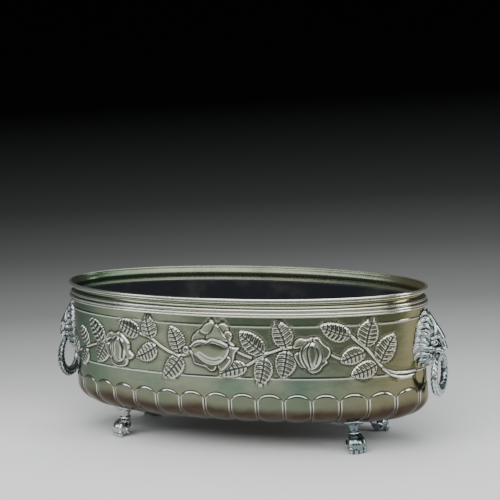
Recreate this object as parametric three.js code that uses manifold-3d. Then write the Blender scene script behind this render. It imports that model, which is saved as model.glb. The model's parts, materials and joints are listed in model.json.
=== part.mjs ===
// Oval brass planter: two repousse body halves joined at the ends, a moulded collar rolled over a rim wire,
// a soldered base plate, lion mask handles with hanging rings, four paw feet and a lift-out plastic liner.
// Millimetres, +Z up. The origin lies on the floor under the middle of the oval. X runs along the oval,
// Y runs across it, and the front faces -Y.

import * as THREE from 'three';
import { mergeVertices } from 'three/addons/utils/BufferGeometryUtils.js';
import Module from 'manifold-3d';

const wasm = await Module();
wasm.setup();

// ---- Driving dimensions ----------------------------------------------------------------------------

// Body
const wallHalfLength = 220;
const wallHalfWidth = 89;
const overallHeight = 184.5;
const sheet = 1.2;
const cornerReach = 42;
const cornerRise = 24;
const flangeWidth = 14;
const plateLap = 12;
const seamGap = 0.3;

// Gadroons: the upright lobes that run down the wall and under the body
const gadroons = 32;
const gadroonHeight = 41;
const gadroonShoulder = 8;
const gadroonSwell = 1.4;
const gadroonGroove = 1.2;
const gadroonFade = 4;

// Collar and rim wire
const collarHeight = 22;
const collarLap = 8.5;
const beadReach = 4.2;
const neckDepth = 1.5;
const rimWireRadius = 0.9;
const rimOverhang = 3.6;
const rollSheet = 0.6;

// Lion masks. Lumps are placed by how far they stand out from the wall and how far they lie below the crown
const maskHeight = 60;
const maskHalfWidth = 22;
const maskBelowCollar = 6;
const maskBoltBelowCrown = 25;
const muzzleReach = 27;
const mouthBelowCrown = 48.5;
const maneLocks = 12;

// Ring handles
const ringDiameter = 51;
const ringTopThickness = 5;
const ringBottomThickness = 11.5;
const ringBottomDepth = 8;
const ringStandOff = 16;

// Feet
const footHeight = 33.7;
const footFlangeRadius = 12.5;
const footFlangeThickness = 2.4;
const footInset = 30;
const footBearing = THREE.MathUtils.degToRad(40.4);
const footHeading = THREE.MathUtils.degToRad(52);
const legRadius = 5;
const pawWidth = 22.5;
const pawHeight = 20;
const pawForward = 7;
const toes = 4;

// Fasteners
const studRadius = 2.5;
const washerRadius = 5.5;
const washerThickness = 1;
const nutHeight = 3;
const nutAcrossFlats = 8;
const studTail = 2;

// Solder strap behind each end seam
const strapHalfWidth = 9;
const strapThickness = 1;

// Liner
const linerBelowRim = 16;
const linerWall = 1.6;
const linerLip = 7.3;
const linerTaper = 11;
const linerPadRadius = 6;
const linerNutRoom = 3;

// Clearances
const contactGap = 0.3;
const boreGap = 0.4;
const collarGap = 0.6;
const maskGap = 0.5;
const linerRimGap = 2.5;
const mouthGap = 0.6;

// ---- Derived heights and places --------------------------------------------------------------------

const axisDifference = wallHalfLength - wallHalfWidth;
const undersideZ = footHeight;
const cornerTopZ = undersideZ + cornerRise;
const gadroonTopZ = undersideZ + gadroonHeight;
const collarBottomZ = overallHeight - collarHeight;
const wallTopZ = collarBottomZ + collarLap;
const floorTopZ = undersideZ + sheet;

const crownZ = collarBottomZ - maskBelowCollar;
const mouthZ = crownZ - mouthBelowCrown;
const mouthX = wallHalfLength + ringStandOff;
const maskBoltZ = crownZ - maskBoltBelowCrown;

const footCentre = new THREE.Vector2(
  (wallHalfLength - footInset) * Math.cos(footBearing),
  (wallHalfWidth - footInset) * Math.sin(footBearing),
);

const plateHalfWidth = wallHalfWidth - cornerReach - flangeWidth + plateLap;
const plateBottomZ = floorTopZ + contactGap;
const plateTopZ = plateBottomZ + sheet;

// ---- Materials ------------------------------------------------------------------------------------

const brass = new THREE.MeshStandardMaterial({ color: 0x9a977c, roughness: 0.3, metalness: 1 });
const castBrass = new THREE.MeshStandardMaterial({ color: 0xa6a48c, roughness: 0.35, metalness: 1 });
const brassFastener = new THREE.MeshStandardMaterial({ color: 0x8a7d55, roughness: 0.45, metalness: 1 });
const linerPlastic = new THREE.MeshStandardMaterial({ color: 0x17191d, roughness: 0.6, metalness: 0 });

// ---- Shape helpers --------------------------------------------------------------------------------

// Gives the ellipse parameter after each of `count` equal steps of arc length round the wall.
function equalArcParameters(count) {
  const fine = 4096;
  const lengths = [0];
  for (let i = 0; i < fine; i += 1) {
    const middle = (2 * Math.PI * (i + 0.5)) / fine;
    const speed = Math.hypot(wallHalfLength * Math.sin(middle), wallHalfWidth * Math.cos(middle));
    lengths.push(lengths[i] + (speed * 2 * Math.PI) / fine);
  }
  const parameters = [];
  let i = 0;
  for (let k = 0; k < count; k += 1) {
    const target = (lengths[fine] * k) / count;
    while (lengths[i + 1] < target) {
      i += 1;
    }
    const share = (target - lengths[i]) / (lengths[i + 1] - lengths[i]);
    parameters.push((2 * Math.PI * (i + share)) / fine);
  }
  return parameters;
}

function evenParameters(count) {
  return Array.from({ length: count }, (_, k) => (2 * Math.PI * k) / count);
}

const stationsPerGadroon = 3;
const sheetStations = equalArcParameters(gadroons * stationsPerGadroon);
const smoothStations = evenParameters(64);
const fineStations = evenParameters(96);

// Revolves a profile of [half width, height] points and stretches the round result into the planter's
// oval. `swell` may move a point outwards by its height and its station round the oval.
function ovalLathe(profile, stations, swell = () => 0) {
  const points = profile.map(([halfWidth, z]) => new THREE.Vector2(halfWidth, z));
  const geometry = new THREE.LatheGeometry(points, stations.length);
  const position = geometry.getAttribute('position');
  const turn = 2 * Math.PI;
  for (let i = 0; i < position.count; i += 1) {
    const radius = Math.hypot(position.getX(i), position.getZ(i));
    const angle = (Math.atan2(position.getX(i), position.getZ(i)) + turn) % turn;
    const station = Math.round((angle / turn) * stations.length) % stations.length;
    const height = position.getY(i);
    if (radius < 1e-6) {
      position.setXYZ(i, 0, 0, height);
      continue;
    }
    const halfWidth = radius + swell(height, station);
    const parameter = stations[station];
    position.setXYZ(
      i,
      (halfWidth + axisDifference) * Math.cos(parameter),
      halfWidth * Math.sin(parameter),
      height,
    );
  }
  return geometry;
}

// Turns a closed geometry into a solid for cutting and joining.
function toSolid(geometry) {
  const bare = geometry.clone();
  bare.deleteAttribute('normal');
  bare.deleteAttribute('uv');
  const merged = mergeVertices(bare, 1e-4);
  return new wasm.Manifold(new wasm.Mesh({
    numProp: 3,
    vertProperties: new Float32Array(merged.getAttribute('position').array),
    triVerts: new Uint32Array(merged.getIndex().array),
  }));
}

function toGeometry(solid) {
  const mesh = solid.getMesh();
  const geometry = new THREE.BufferGeometry();
  geometry.setAttribute('position', new THREE.BufferAttribute(mesh.vertProperties, 3));
  geometry.setIndex(new THREE.BufferAttribute(mesh.triVerts, 1));
  geometry.computeVertexNormals();
  return geometry;
}

function unite(geometries) {
  return geometries.map(toSolid).reduce((sum, solid) => sum.add(solid));
}

function cutAll(solid, geometries) {
  return geometries.map(toSolid).reduce((rest, cutter) => rest.subtract(cutter), solid);
}

function box(x0, x1, y0, y1, z0, z1) {
  const geometry = new THREE.BoxGeometry(x1 - x0, y1 - y0, z1 - z0);
  return geometry.translate((x0 + x1) / 2, (y0 + y1) / 2, (z0 + z1) / 2);
}

// An upright round bar from z0 to z1.
function uprightBar(radius, x, y, z0, z1, sides = 10) {
  const geometry = new THREE.CylinderGeometry(radius, radius, z1 - z0, sides);
  return geometry.rotateX(Math.PI / 2).translate(x, y, (z0 + z1) / 2);
}

// A round bar along X from x0 to x1, at y = 0.
function lyingBar(radius, x0, x1, z, sides = 10) {
  const geometry = new THREE.CylinderGeometry(radius, radius, x1 - x0, sides);
  return geometry.rotateZ(-Math.PI / 2).translate((x0 + x1) / 2, 0, z);
}

// An ellipsoid with the given half sizes, pitched about Y and then placed.
function lump([rx, ry, rz], [x, y, z], pitch = 0, sides = 8, rows = 6) {
  const geometry = new THREE.SphereGeometry(1, sides, rows).rotateX(Math.PI / 2);
  return geometry.scale(rx, ry, rz).rotateY(pitch).translate(x, y, z);
}

function atEachFoot(action) {
  for (const x of [-1, 1]) {
    for (const y of [-1, 1]) {
      action(x * footCentre.x, y * footCentre.y, x, y);
    }
  }
}

// ---- Body halves ----------------------------------------------------------------------------------

// Says how strongly the gadroons swell the sheet at a height: they start under the arches, and fade
// out where the sheet turns flat under the body.
function gadroonStrength(z) {
  if (z > gadroonTopZ - 1) {
    return 0;
  }
  return THREE.MathUtils.clamp((z - floorTopZ - gadroonFade) / (cornerRise * 0.4), 0, 1);
}

function gadroonRelief(z, station) {
  const inGroove = station % stationsPerGadroon === 0;
  return gadroonStrength(z) * (inGroove ? -gadroonGroove : gadroonSwell);
}

// One skin of the body from the wall's top to the flange's inner edge: the outside has depth 0, and the
// inside lies one sheet deeper.
function bodySkin(depth) {
  const skin = [
    [wallHalfWidth - depth, wallTopZ],
    [wallHalfWidth - depth, gadroonTopZ],
    [wallHalfWidth - depth, gadroonTopZ - gadroonShoulder],
  ];
  const cornerSteps = 4;
  for (let step = 0; step <= cornerSteps; step += 1) {
    const angle = (Math.PI / 2) * (step / cornerSteps);
    skin.push([
      wallHalfWidth - cornerReach + (cornerReach - depth) * Math.cos(angle),
      cornerTopZ - (cornerRise - depth) * Math.sin(angle),
    ]);
  }
  skin.push([wallHalfWidth - cornerReach - flangeWidth, undersideZ + depth]);
  return skin;
}

function makeShell() {
  const inside = bodySkin(sheet);
  const outside = bodySkin(0).reverse();
  const ring = toSolid(ovalLathe([...outside, ...inside, outside[0]], sheetStations, gadroonRelief));
  const reach = wallHalfLength + 20;
  const frontHalf = box(-reach, reach, -wallHalfWidth - 20, -seamGap / 2, 0, overallHeight);
  const half = ring.intersect(toSolid(frontHalf));
  const bores = [-1, 1].map((side) => uprightBar(
    studRadius + boreGap, side * footCentre.x, -footCentre.y, undersideZ - 5, floorTopZ + 8,
  ));
  bores.push(lyingBar(studRadius + boreGap, -reach, reach, maskBoltZ));
  return toGeometry(cutAll(half, bores));
}

function makeBasePlate() {
  return ovalLathe(
    [[0, plateBottomZ], [plateHalfWidth, plateBottomZ], [plateHalfWidth, plateTopZ], [0, plateTopZ]],
    smoothStations,
  );
}

function makeSeamStrap() {
  const outer = wallHalfWidth - sheet - contactGap;
  const inner = outer - strapThickness;
  const bottom = gadroonTopZ + 2;
  const top = collarBottomZ - 2;
  const ring = toSolid(ovalLathe(
    [[outer, bottom], [outer, top], [inner, top], [inner, bottom], [outer, bottom]],
    sheetStations,
  ));
  const endPiece = box(0, wallHalfLength, -strapHalfWidth, strapHalfWidth, 0, overallHeight);
  const bore = lyingBar(studRadius + boreGap, 0, wallHalfLength, maskBoltZ);
  return toGeometry(ring.intersect(toSolid(endPiece)).subtract(toSolid(bore)));
}

// ---- Collar and rim wire --------------------------------------------------------------------------

const rollRadius = rimWireRadius + contactGap + rollSheet;
const rimWireHalfWidth = wallHalfWidth + rimOverhang - rollRadius;
const rimWireZ = overallHeight - rollRadius;

// Points round the rim wire's centre, from one angle to another in degrees.
function rollPoints(radius, fromDegrees, toDegrees, steps) {
  return Array.from({ length: steps + 1 }, (_, i) => {
    const angle = THREE.MathUtils.degToRad(fromDegrees + ((toDegrees - fromDegrees) * i) / steps);
    return [rimWireHalfWidth + radius * Math.cos(angle), rimWireZ + radius * Math.sin(angle)];
  });
}

// The collar laps over the wall's top edge with three beads, narrows to a neck above it, and rolls outwards
// over the rim wire. The roll is left open underneath. Heights count from the collar's bottom edge.
function makeCollar() {
  const lap = collarGap;
  const neckInside = -neckDepth - sheet;
  const outside = [
    [1, 0],
    [beadReach - 0.8, 0.3],
    [beadReach - 0.8, 2],
    [beadReach - 1.6, 2.7],
    [beadReach, 3.6],
    [beadReach - 0.2, 5.2],
    [beadReach - 2.4, 6],
    [beadReach - 1.6, 7.4],
    [beadReach - 1.8, 9],
    [0.2, 10.2],
    [-neckDepth, 13],
    [-neckDepth, 14.6],
    [0.3, 16.6],
  ].map(([out, up]) => [wallHalfWidth + out, collarBottomZ + up]);
  const rollInside = rollPoints(rimWireRadius + contactGap, 180, -50, 4);
  const rollOutside = rollPoints(rollRadius, -50, 180, 4);
  const inside = [
    [neckInside, 14.4],
    [neckInside, 13],
    [-sheet, collarLap + contactGap],
    [lap, collarLap + contactGap],
    [lap, 0],
  ].map(([out, up]) => [wallHalfWidth + out, collarBottomZ + up]);
  return ovalLathe([...outside, ...rollInside, ...rollOutside, ...inside, outside[0]], smoothStations);
}

function makeRimWire() {
  const sides = 6;
  const section = Array.from({ length: sides + 1 }, (_, i) => {
    const angle = (2 * Math.PI * (i % sides)) / sides;
    return [
      rimWireHalfWidth + rimWireRadius * Math.cos(angle),
      rimWireZ + rimWireRadius * Math.sin(angle),
    ];
  });
  return ovalLathe(section, smoothStations);
}

// ---- Lion masks -----------------------------------------------------------------------------------

// The wall's outside face on the long side of the oval, at a distance across from its end.
function wallEndX(across) {
  return wallHalfLength * Math.sqrt(1 - (across / wallHalfWidth) ** 2);
}

// A ring of mane locks follows the curved end of the wall.
function makeMane() {
  const centreZ = crownZ - maskHeight * 0.46;
  const lock = [6.5, 5.2, 7.4];
  return Array.from({ length: maneLocks }, (_, i) => {
    const angle = (2 * Math.PI * (i + 0.5)) / maneLocks;
    const across = maskHalfWidth * 0.78 * Math.sin(angle);
    const up = maskHeight * 0.37 * Math.cos(angle);
    return lump(lock, [wallEndX(across) + 2, across, centreZ + up], 0, 7, 5);
  });
}

function makeMask() {
  const at = (out, across, below) => [wallHalfLength + out, across, crownZ - below];
  const face = [
    lump([11, maskHalfWidth * 0.72, maskHeight * 0.38], at(2, 0, 28), 0, 12, 8),
    lump([8, 6.5, 16], at(10, 0, 30), -0.5),
    lump([muzzleReach - 15, 9.5, 8.5], at(15, 0, mouthBelowCrown - 7.5)),
    lump([9, 7, 6], at(13.5, 0, mouthBelowCrown + 3.5)),
  ];
  for (const side of [-1, 1]) {
    face.push(lump([7, 5.5, 5.5], at(7.5, side * 8, mouthBelowCrown - 25)));
    face.push(lump([9, 7, 9], at(6, side * 10, mouthBelowCrown - 10)));
  }
  const wall = ovalLathe(
    [[0, 0], [wallHalfWidth + maskGap, 0], [wallHalfWidth + maskGap, overallHeight], [0, overallHeight]],
    fineStations,
  );
  const studBore = lyingBar(studRadius + boreGap, wallHalfLength - 5, maskStudTipX + contactGap, maskBoltZ);
  return toGeometry(cutAll(unite([...face, ...makeMane()]), [wall, studBore, makeMouth()]));
}

// The mouth is narrow in the middle and opens to both sides, so that the curved ring can swing in it.
function makeMouth() {
  const barRadius = ringTopThickness / 2;
  const halfThroat = 3;
  const halfLength = 14;
  const throat = barRadius + mouthGap;
  const flare = barRadius + mouthGap + 4.6;
  const profile = [
    [0, -halfLength],
    [flare, -halfLength],
    [throat, -halfThroat],
    [throat, halfThroat],
    [flare, halfLength],
    [0, halfLength],
  ].map(([radius, along]) => new THREE.Vector2(radius, along));
  return new THREE.LatheGeometry(profile, 12).translate(mouthX, 0, mouthZ);
}

// ---- Ring handles ---------------------------------------------------------------------------------

// The ring hangs in the YZ plane with its thin top at the origin and thickens towards its bottom.
function makeRing() {
  const pathRadius = (ringDiameter - ringTopThickness / 2 - ringBottomThickness / 2) / 2;
  const geometry = new THREE.TorusGeometry(pathRadius, 1, 8, 24);
  const position = geometry.getAttribute('position');
  for (let i = 0; i < position.count; i += 1) {
    const angle = Math.atan2(position.getY(i), position.getX(i));
    const outward = Math.hypot(position.getX(i), position.getY(i)) - pathRadius;
    const lowness = (1 - Math.sin(angle)) / 2;
    const halfThickness = THREE.MathUtils.lerp(ringTopThickness, ringBottomThickness, lowness) / 2;
    const halfDepth = THREE.MathUtils.lerp(ringTopThickness, ringBottomDepth, Math.sqrt(lowness)) / 2;
    const radius = pathRadius + outward * halfThickness;
    position.setXYZ(
      i,
      position.getZ(i) * halfDepth,
      radius * Math.cos(angle),
      radius * Math.sin(angle) - pathRadius,
    );
  }
  return geometry;
}

// ---- Feet -----------------------------------------------------------------------------------------

const footSeatZ = undersideZ - contactGap;
const studBottomZ = footSeatZ - 12;

// Everything inside the body's outside skin, pushed out by a gap.
function bodyVolume(gap) {
  const skin = bodySkin(-gap);
  return toSolid(ovalLathe([[0, wallTopZ], ...skin, [0, undersideZ - gap]].reverse(), fineStations));
}

const clearOfBody = bodyVolume(contactGap);
const flangeShell = bodyVolume(contactGap + footFlangeThickness).subtract(clearOfBody);

// A cast paw at a place under the body, with its leg over that place and its toes along the heading. Its
// flange follows the body's curved corner. The result is back in the paw's own frame, which faces +X.
function makeFoot(x, y, heading) {
  const legTop = footSeatZ + 5;
  const ankleZ = pawHeight * 0.9;
  const legPoints = [
    [0, legTop],
    [legRadius + 4, legTop],
    [legRadius + 3, footSeatZ - 1],
    [legRadius, footSeatZ - 5],
    [legRadius + 0.6, ankleZ + 4],
    [legRadius, ankleZ],
    [legRadius + 1, pawHeight * 0.5],
    [0, pawHeight * 0.5],
  ];
  const leg = new THREE.LatheGeometry(
    legPoints.reverse().map(([radius, z]) => new THREE.Vector2(radius, z)),
    10,
  ).rotateX(Math.PI / 2);
  const ball = [pawWidth * 0.52, pawWidth / 2, pawHeight * 0.54];
  const parts = [leg, lump(ball, [pawForward, 0, pawHeight - ball[2]], 0, 12, 8)];
  const toePitch = pawWidth / toes;
  for (let toe = 0; toe < toes; toe += 1) {
    const across = (toe - (toes - 1) / 2) * toePitch;
    const forward = pawForward + pawWidth * 0.38 - Math.abs(across) * 0.35;
    parts.push(lump([4.6, toePitch * 0.56, 5], [forward, across, 4.6], 0, 6, 5));
  }
  const floor = box(-60, 60, -60, 60, -40, 0);
  const studBore = uprightBar(studRadius + boreGap, 0, 0, studBottomZ - contactGap, legTop + 10);
  const toPlace = new THREE.Matrix4().makeRotationZ(heading).setPosition(x, y, 0);
  const fromPlace = toPlace.clone().invert();
  const disc = uprightBar(footFlangeRadius, x, y, undersideZ - 5, undersideZ + 10, 16);
  const flange = toSolid(disc).intersect(flangeShell).transform(fromPlace.elements);
  const legAndPaw = unite(parts).subtract(clearOfBody.transform(fromPlace.elements));
  return toGeometry(cutAll(legAndPaw.add(flange), [floor, studBore]));
}

// ---- Fasteners ------------------------------------------------------------------------------------

// A washer that lies on z = 0.
function makeWasher() {
  const bar = toSolid(uprightBar(washerRadius, 0, 0, 0, washerThickness, 14));
  const bore = uprightBar(studRadius + boreGap, 0, 0, -1, washerThickness + 1);
  return toGeometry(bar.subtract(toSolid(bore)));
}

// A hexagon nut that stands on z = 0.
function makeNut() {
  const cornerRadius = nutAcrossFlats / Math.sqrt(3);
  const bar = toSolid(uprightBar(cornerRadius, 0, 0, 0, nutHeight, 6));
  const bore = uprightBar(studRadius + boreGap, 0, 0, -1, nutHeight + 1);
  return toGeometry(bar.subtract(toSolid(bore)));
}

// The body's half width at the nested oval that passes through a point.
function ovalHalfWidthAt(x, y) {
  let low = Math.abs(y);
  let high = wallHalfWidth;
  for (let i = 0; i < 40; i += 1) {
    const middle = (low + high) / 2;
    const isOutside = Math.hypot(x / (middle + axisDifference), y / middle) > 1;
    [low, high] = isOutside ? [middle, high] : [low, middle];
  }
  return (low + high) / 2;
}

// The height of the sheet's inside face where the nested oval has a half width.
function insideHeight(halfWidth) {
  const skin = bodySkin(sheet);
  const next = skin.findIndex(([skinHalfWidth]) => skinHalfWidth < halfWidth);
  const [outerHalfWidth, outerZ] = skin[next - 1];
  const [innerHalfWidth, innerZ] = skin[next];
  const share = (outerHalfWidth - halfWidth) / (outerHalfWidth - innerHalfWidth);
  return THREE.MathUtils.lerp(outerZ, innerZ, share);
}

// The washer's edge meets the curved corner first, so its highest contact sets its seat.
function washerSeat() {
  const bearings = Array.from({ length: 24 }, (_, i) => (2 * Math.PI * i) / 24);
  const contacts = bearings.map((bearing) => insideHeight(ovalHalfWidthAt(
    footCentre.x + washerRadius * Math.cos(bearing),
    footCentre.y + washerRadius * Math.sin(bearing),
  )));
  return Math.max(...contacts);
}

const footWasherZ = washerSeat() + contactGap;
const footNutZ = footWasherZ + washerThickness + contactGap;
const footStudTopZ = footNutZ + nutHeight + studTail;

// How far along X the strap's faceted inside face lies at a distance across from the middle of its end.
function strapInnerXAt(across) {
  const halfWidth = wallHalfWidth - sheet - contactGap - strapThickness;
  const corners = sheetStations.map((parameter) => [
    (halfWidth + axisDifference) * Math.cos(parameter),
    halfWidth * Math.sin(parameter),
  ]);
  const next = corners.findIndex(([, y]) => y > across);
  const [nearX, nearY] = corners[next - 1];
  const [farX, farY] = corners[next];
  return THREE.MathUtils.lerp(nearX, farX, (across - nearY) / (farY - nearY));
}

const maskWasherX = strapInnerXAt(washerRadius) - contactGap;
const maskNutX = maskWasherX - washerThickness - contactGap;
const maskStudEndX = maskNutX - nutHeight - studTail;
const maskStudTipX = wallHalfLength + maskGap + 7;

// ---- Liner ----------------------------------------------------------------------------------------

const linerTopZ = overallHeight - linerBelowRim;
const linerFloorZ = footStudTopZ + linerNutRoom;
const padSpread = 0.45;

// A tapered trough with a lip. Moulded pads lift its floor over the nuts of the feet.
function makeLiner() {
  const lipHalfWidth = wallHalfWidth - neckDepth - sheet - linerRimGap;
  const topHalfWidth = Math.min(lipHalfWidth - linerLip, maskStudEndX - axisDifference - linerRimGap);
  const floorHalfWidth = topHalfWidth - linerTaper;
  const trough = toSolid(ovalLathe([
    [0, linerFloorZ],
    [floorHalfWidth, linerFloorZ],
    [topHalfWidth, linerTopZ - linerWall],
    [lipHalfWidth, linerTopZ - linerWall],
    [lipHalfWidth, linerTopZ],
    [topHalfWidth - linerWall, linerTopZ],
    [floorHalfWidth - linerWall, linerFloorZ + linerWall],
    [0, linerFloorZ + linerWall],
  ], smoothStations));
  const padBottom = plateTopZ + contactGap;
  const padY = plateHalfWidth * padSpread;
  const padX = (plateHalfWidth + axisDifference) * padSpread * 1.3;
  const pads = [];
  for (const x of [-padX, 0, padX]) {
    for (const y of [-padY, padY]) {
      pads.push(uprightBar(linerPadRadius, x, y, padBottom, linerFloorZ + 1));
    }
  }
  return toGeometry(trough.add(unite(pads)));
}

// ---- Assembly -------------------------------------------------------------------------------------

const planter = new THREE.Group();

function place(name, geometry, material, position = [0, 0, 0], turn = 0) {
  const mesh = new THREE.Mesh(geometry, material);
  mesh.name = name;
  mesh.position.set(...position);
  mesh.rotation.z = turn;
  planter.add(mesh);
  return mesh;
}

const shell = makeShell();
place('front_shell', shell, brass);
place('back_shell', shell, brass, [0, 0, 0], Math.PI);
place('base_plate', makeBasePlate(), brass);
place('rim_collar', makeCollar(), brass);
place('rim_wire', makeRimWire(), brassFastener);

const washer = makeWasher();
const nut = makeNut();

// Each end has a strap behind its seam and a mask in front of it, bolted through both.
const strap = makeSeamStrap();
const mask = makeMask();
const ring = makeRing();
const maskStud = lyingBar(studRadius, maskStudEndX, maskStudTipX, maskBoltZ);
const boltedWasher = washer.clone().rotateY(-Math.PI / 2).translate(maskWasherX, 0, maskBoltZ);
const boltedNut = nut.clone().rotateY(-Math.PI / 2).translate(maskNutX, 0, maskBoltZ);
for (const [side, direction] of [['left', -1], ['right', 1]]) {
  const turn = direction > 0 ? 0 : Math.PI;
  place(`seam_strap_${side}`, strap, brass, [0, 0, 0], turn);
  place(`lion_mask_${side}`, mask, castBrass, [0, 0, 0], turn);
  place(`ring_handle_${side}`, ring, castBrass, [direction * mouthX, 0, mouthZ], turn);
  place(`mask_stud_${side}`, maskStud, brassFastener, [0, 0, 0], turn);
  place(`mask_washer_${side}`, boltedWasher, brassFastener, [0, 0, 0], turn);
  place(`mask_nut_${side}`, boltedNut, brassFastener, [0, 0, 0], turn);
}

// Each foot hangs on a stud that passes through the body's curved bottom.
const footStud = uprightBar(studRadius, 0, 0, studBottomZ, footStudTopZ);
atEachFoot((x, y, towardsX, towardsY) => {
  const corner = `${towardsY < 0 ? 'front' : 'back'}_${towardsX < 0 ? 'left' : 'right'}`;
  const heading = Math.atan2(towardsY * Math.sin(footHeading), towardsX * Math.cos(footHeading));
  place(`paw_foot_${corner}`, makeFoot(x, y, heading), castBrass, [x, y, 0], heading);
  place(`foot_stud_${corner}`, footStud, brassFastener, [x, y, 0]);
  place(`foot_washer_${corner}`, washer, brassFastener, [x, y, footWasherZ]);
  place(`foot_nut_${corner}`, nut, brassFastener, [x, y, footNutZ]);
});

place('liner', makeLiner(), linerPlastic);

export default planter;
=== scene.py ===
"""An oval repousse brass planter, built round its solid model.

Lengths are in metres in the model's own frame unless a name ends in _mm. The relief of the body is drawn
on the unrolled wall: `along` runs round the oval from the middle of the front, towards +X, and `up` is the
height, which carries on as distance along the sheet where the sheet turns under the body.
"""

import json
import logging
import math
from collections.abc import Sequence
from dataclasses import dataclass, field
from enum import Enum

import bmesh
import bpy
import numpy as np
from mathutils import Matrix, Vector


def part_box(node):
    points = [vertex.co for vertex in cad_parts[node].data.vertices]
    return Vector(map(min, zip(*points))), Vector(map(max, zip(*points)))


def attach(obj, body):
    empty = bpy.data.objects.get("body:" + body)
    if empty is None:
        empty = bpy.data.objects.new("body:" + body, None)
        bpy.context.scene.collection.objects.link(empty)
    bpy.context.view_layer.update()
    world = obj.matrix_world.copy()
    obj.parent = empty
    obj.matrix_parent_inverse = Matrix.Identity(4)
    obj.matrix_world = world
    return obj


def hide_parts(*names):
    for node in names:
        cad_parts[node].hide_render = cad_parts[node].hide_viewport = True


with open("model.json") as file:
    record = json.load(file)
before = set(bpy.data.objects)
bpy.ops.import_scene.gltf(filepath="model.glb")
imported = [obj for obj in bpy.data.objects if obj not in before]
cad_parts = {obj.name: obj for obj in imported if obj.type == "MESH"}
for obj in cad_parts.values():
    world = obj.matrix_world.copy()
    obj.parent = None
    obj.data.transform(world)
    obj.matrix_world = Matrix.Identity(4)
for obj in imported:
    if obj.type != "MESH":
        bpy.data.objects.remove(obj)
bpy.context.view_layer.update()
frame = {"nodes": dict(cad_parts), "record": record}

LOG = logging.getLogger("planter")
MM = 0.001
Point2 = tuple[float, float]
Point3 = tuple[float, float, float]
Colour = tuple[float, float, float]


# ---- Shader building ------------------------------------------------------------------------------


class Sock:
    """An output socket of a shader tree. Arithmetic on it adds Math nodes."""

    def __init__(self, shader: "Shader", socket: bpy.types.NodeSocket) -> None:
        """Keeps the socket and the shader that it belongs to."""
        self.shader = shader
        self.socket = socket

    def math(self, operation: str, *others: "Sock | float") -> "Sock":
        """Adds one Math node with this socket first and returns its result."""
        values = {0: self, **{i + 1: other for i, other in enumerate(others)}}
        return self.shader.out("ShaderNodeMath", {"operation": operation}, values)

    def __add__(self, other: "Sock | float") -> "Sock":
        """Adds."""
        return self.math("ADD", other)

    __radd__ = __add__

    def __mul__(self, other: "Sock | float") -> "Sock":
        """Multiplies."""
        return self.math("MULTIPLY", other)

    __rmul__ = __mul__

    def __sub__(self, other: "Sock | float") -> "Sock":
        """Subtracts the other value from this one."""
        return self.math("SUBTRACT", other)

    def __rsub__(self, other: float) -> "Sock":
        """Subtracts this value from a number."""
        return self.shader.out("ShaderNodeMath", {"operation": "SUBTRACT"}, {0: other, 1: self})

    def between(self, low: float, high: float) -> "Sock":
        """Maps low..high to 0..1, smoothly, and clamps the rest."""
        settings = {"interpolation_type": "SMOOTHSTEP"}
        values = {"Value": self, "From Min": low, "From Max": high}
        return self.shader.out("ShaderNodeMapRange", settings, values)


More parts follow.
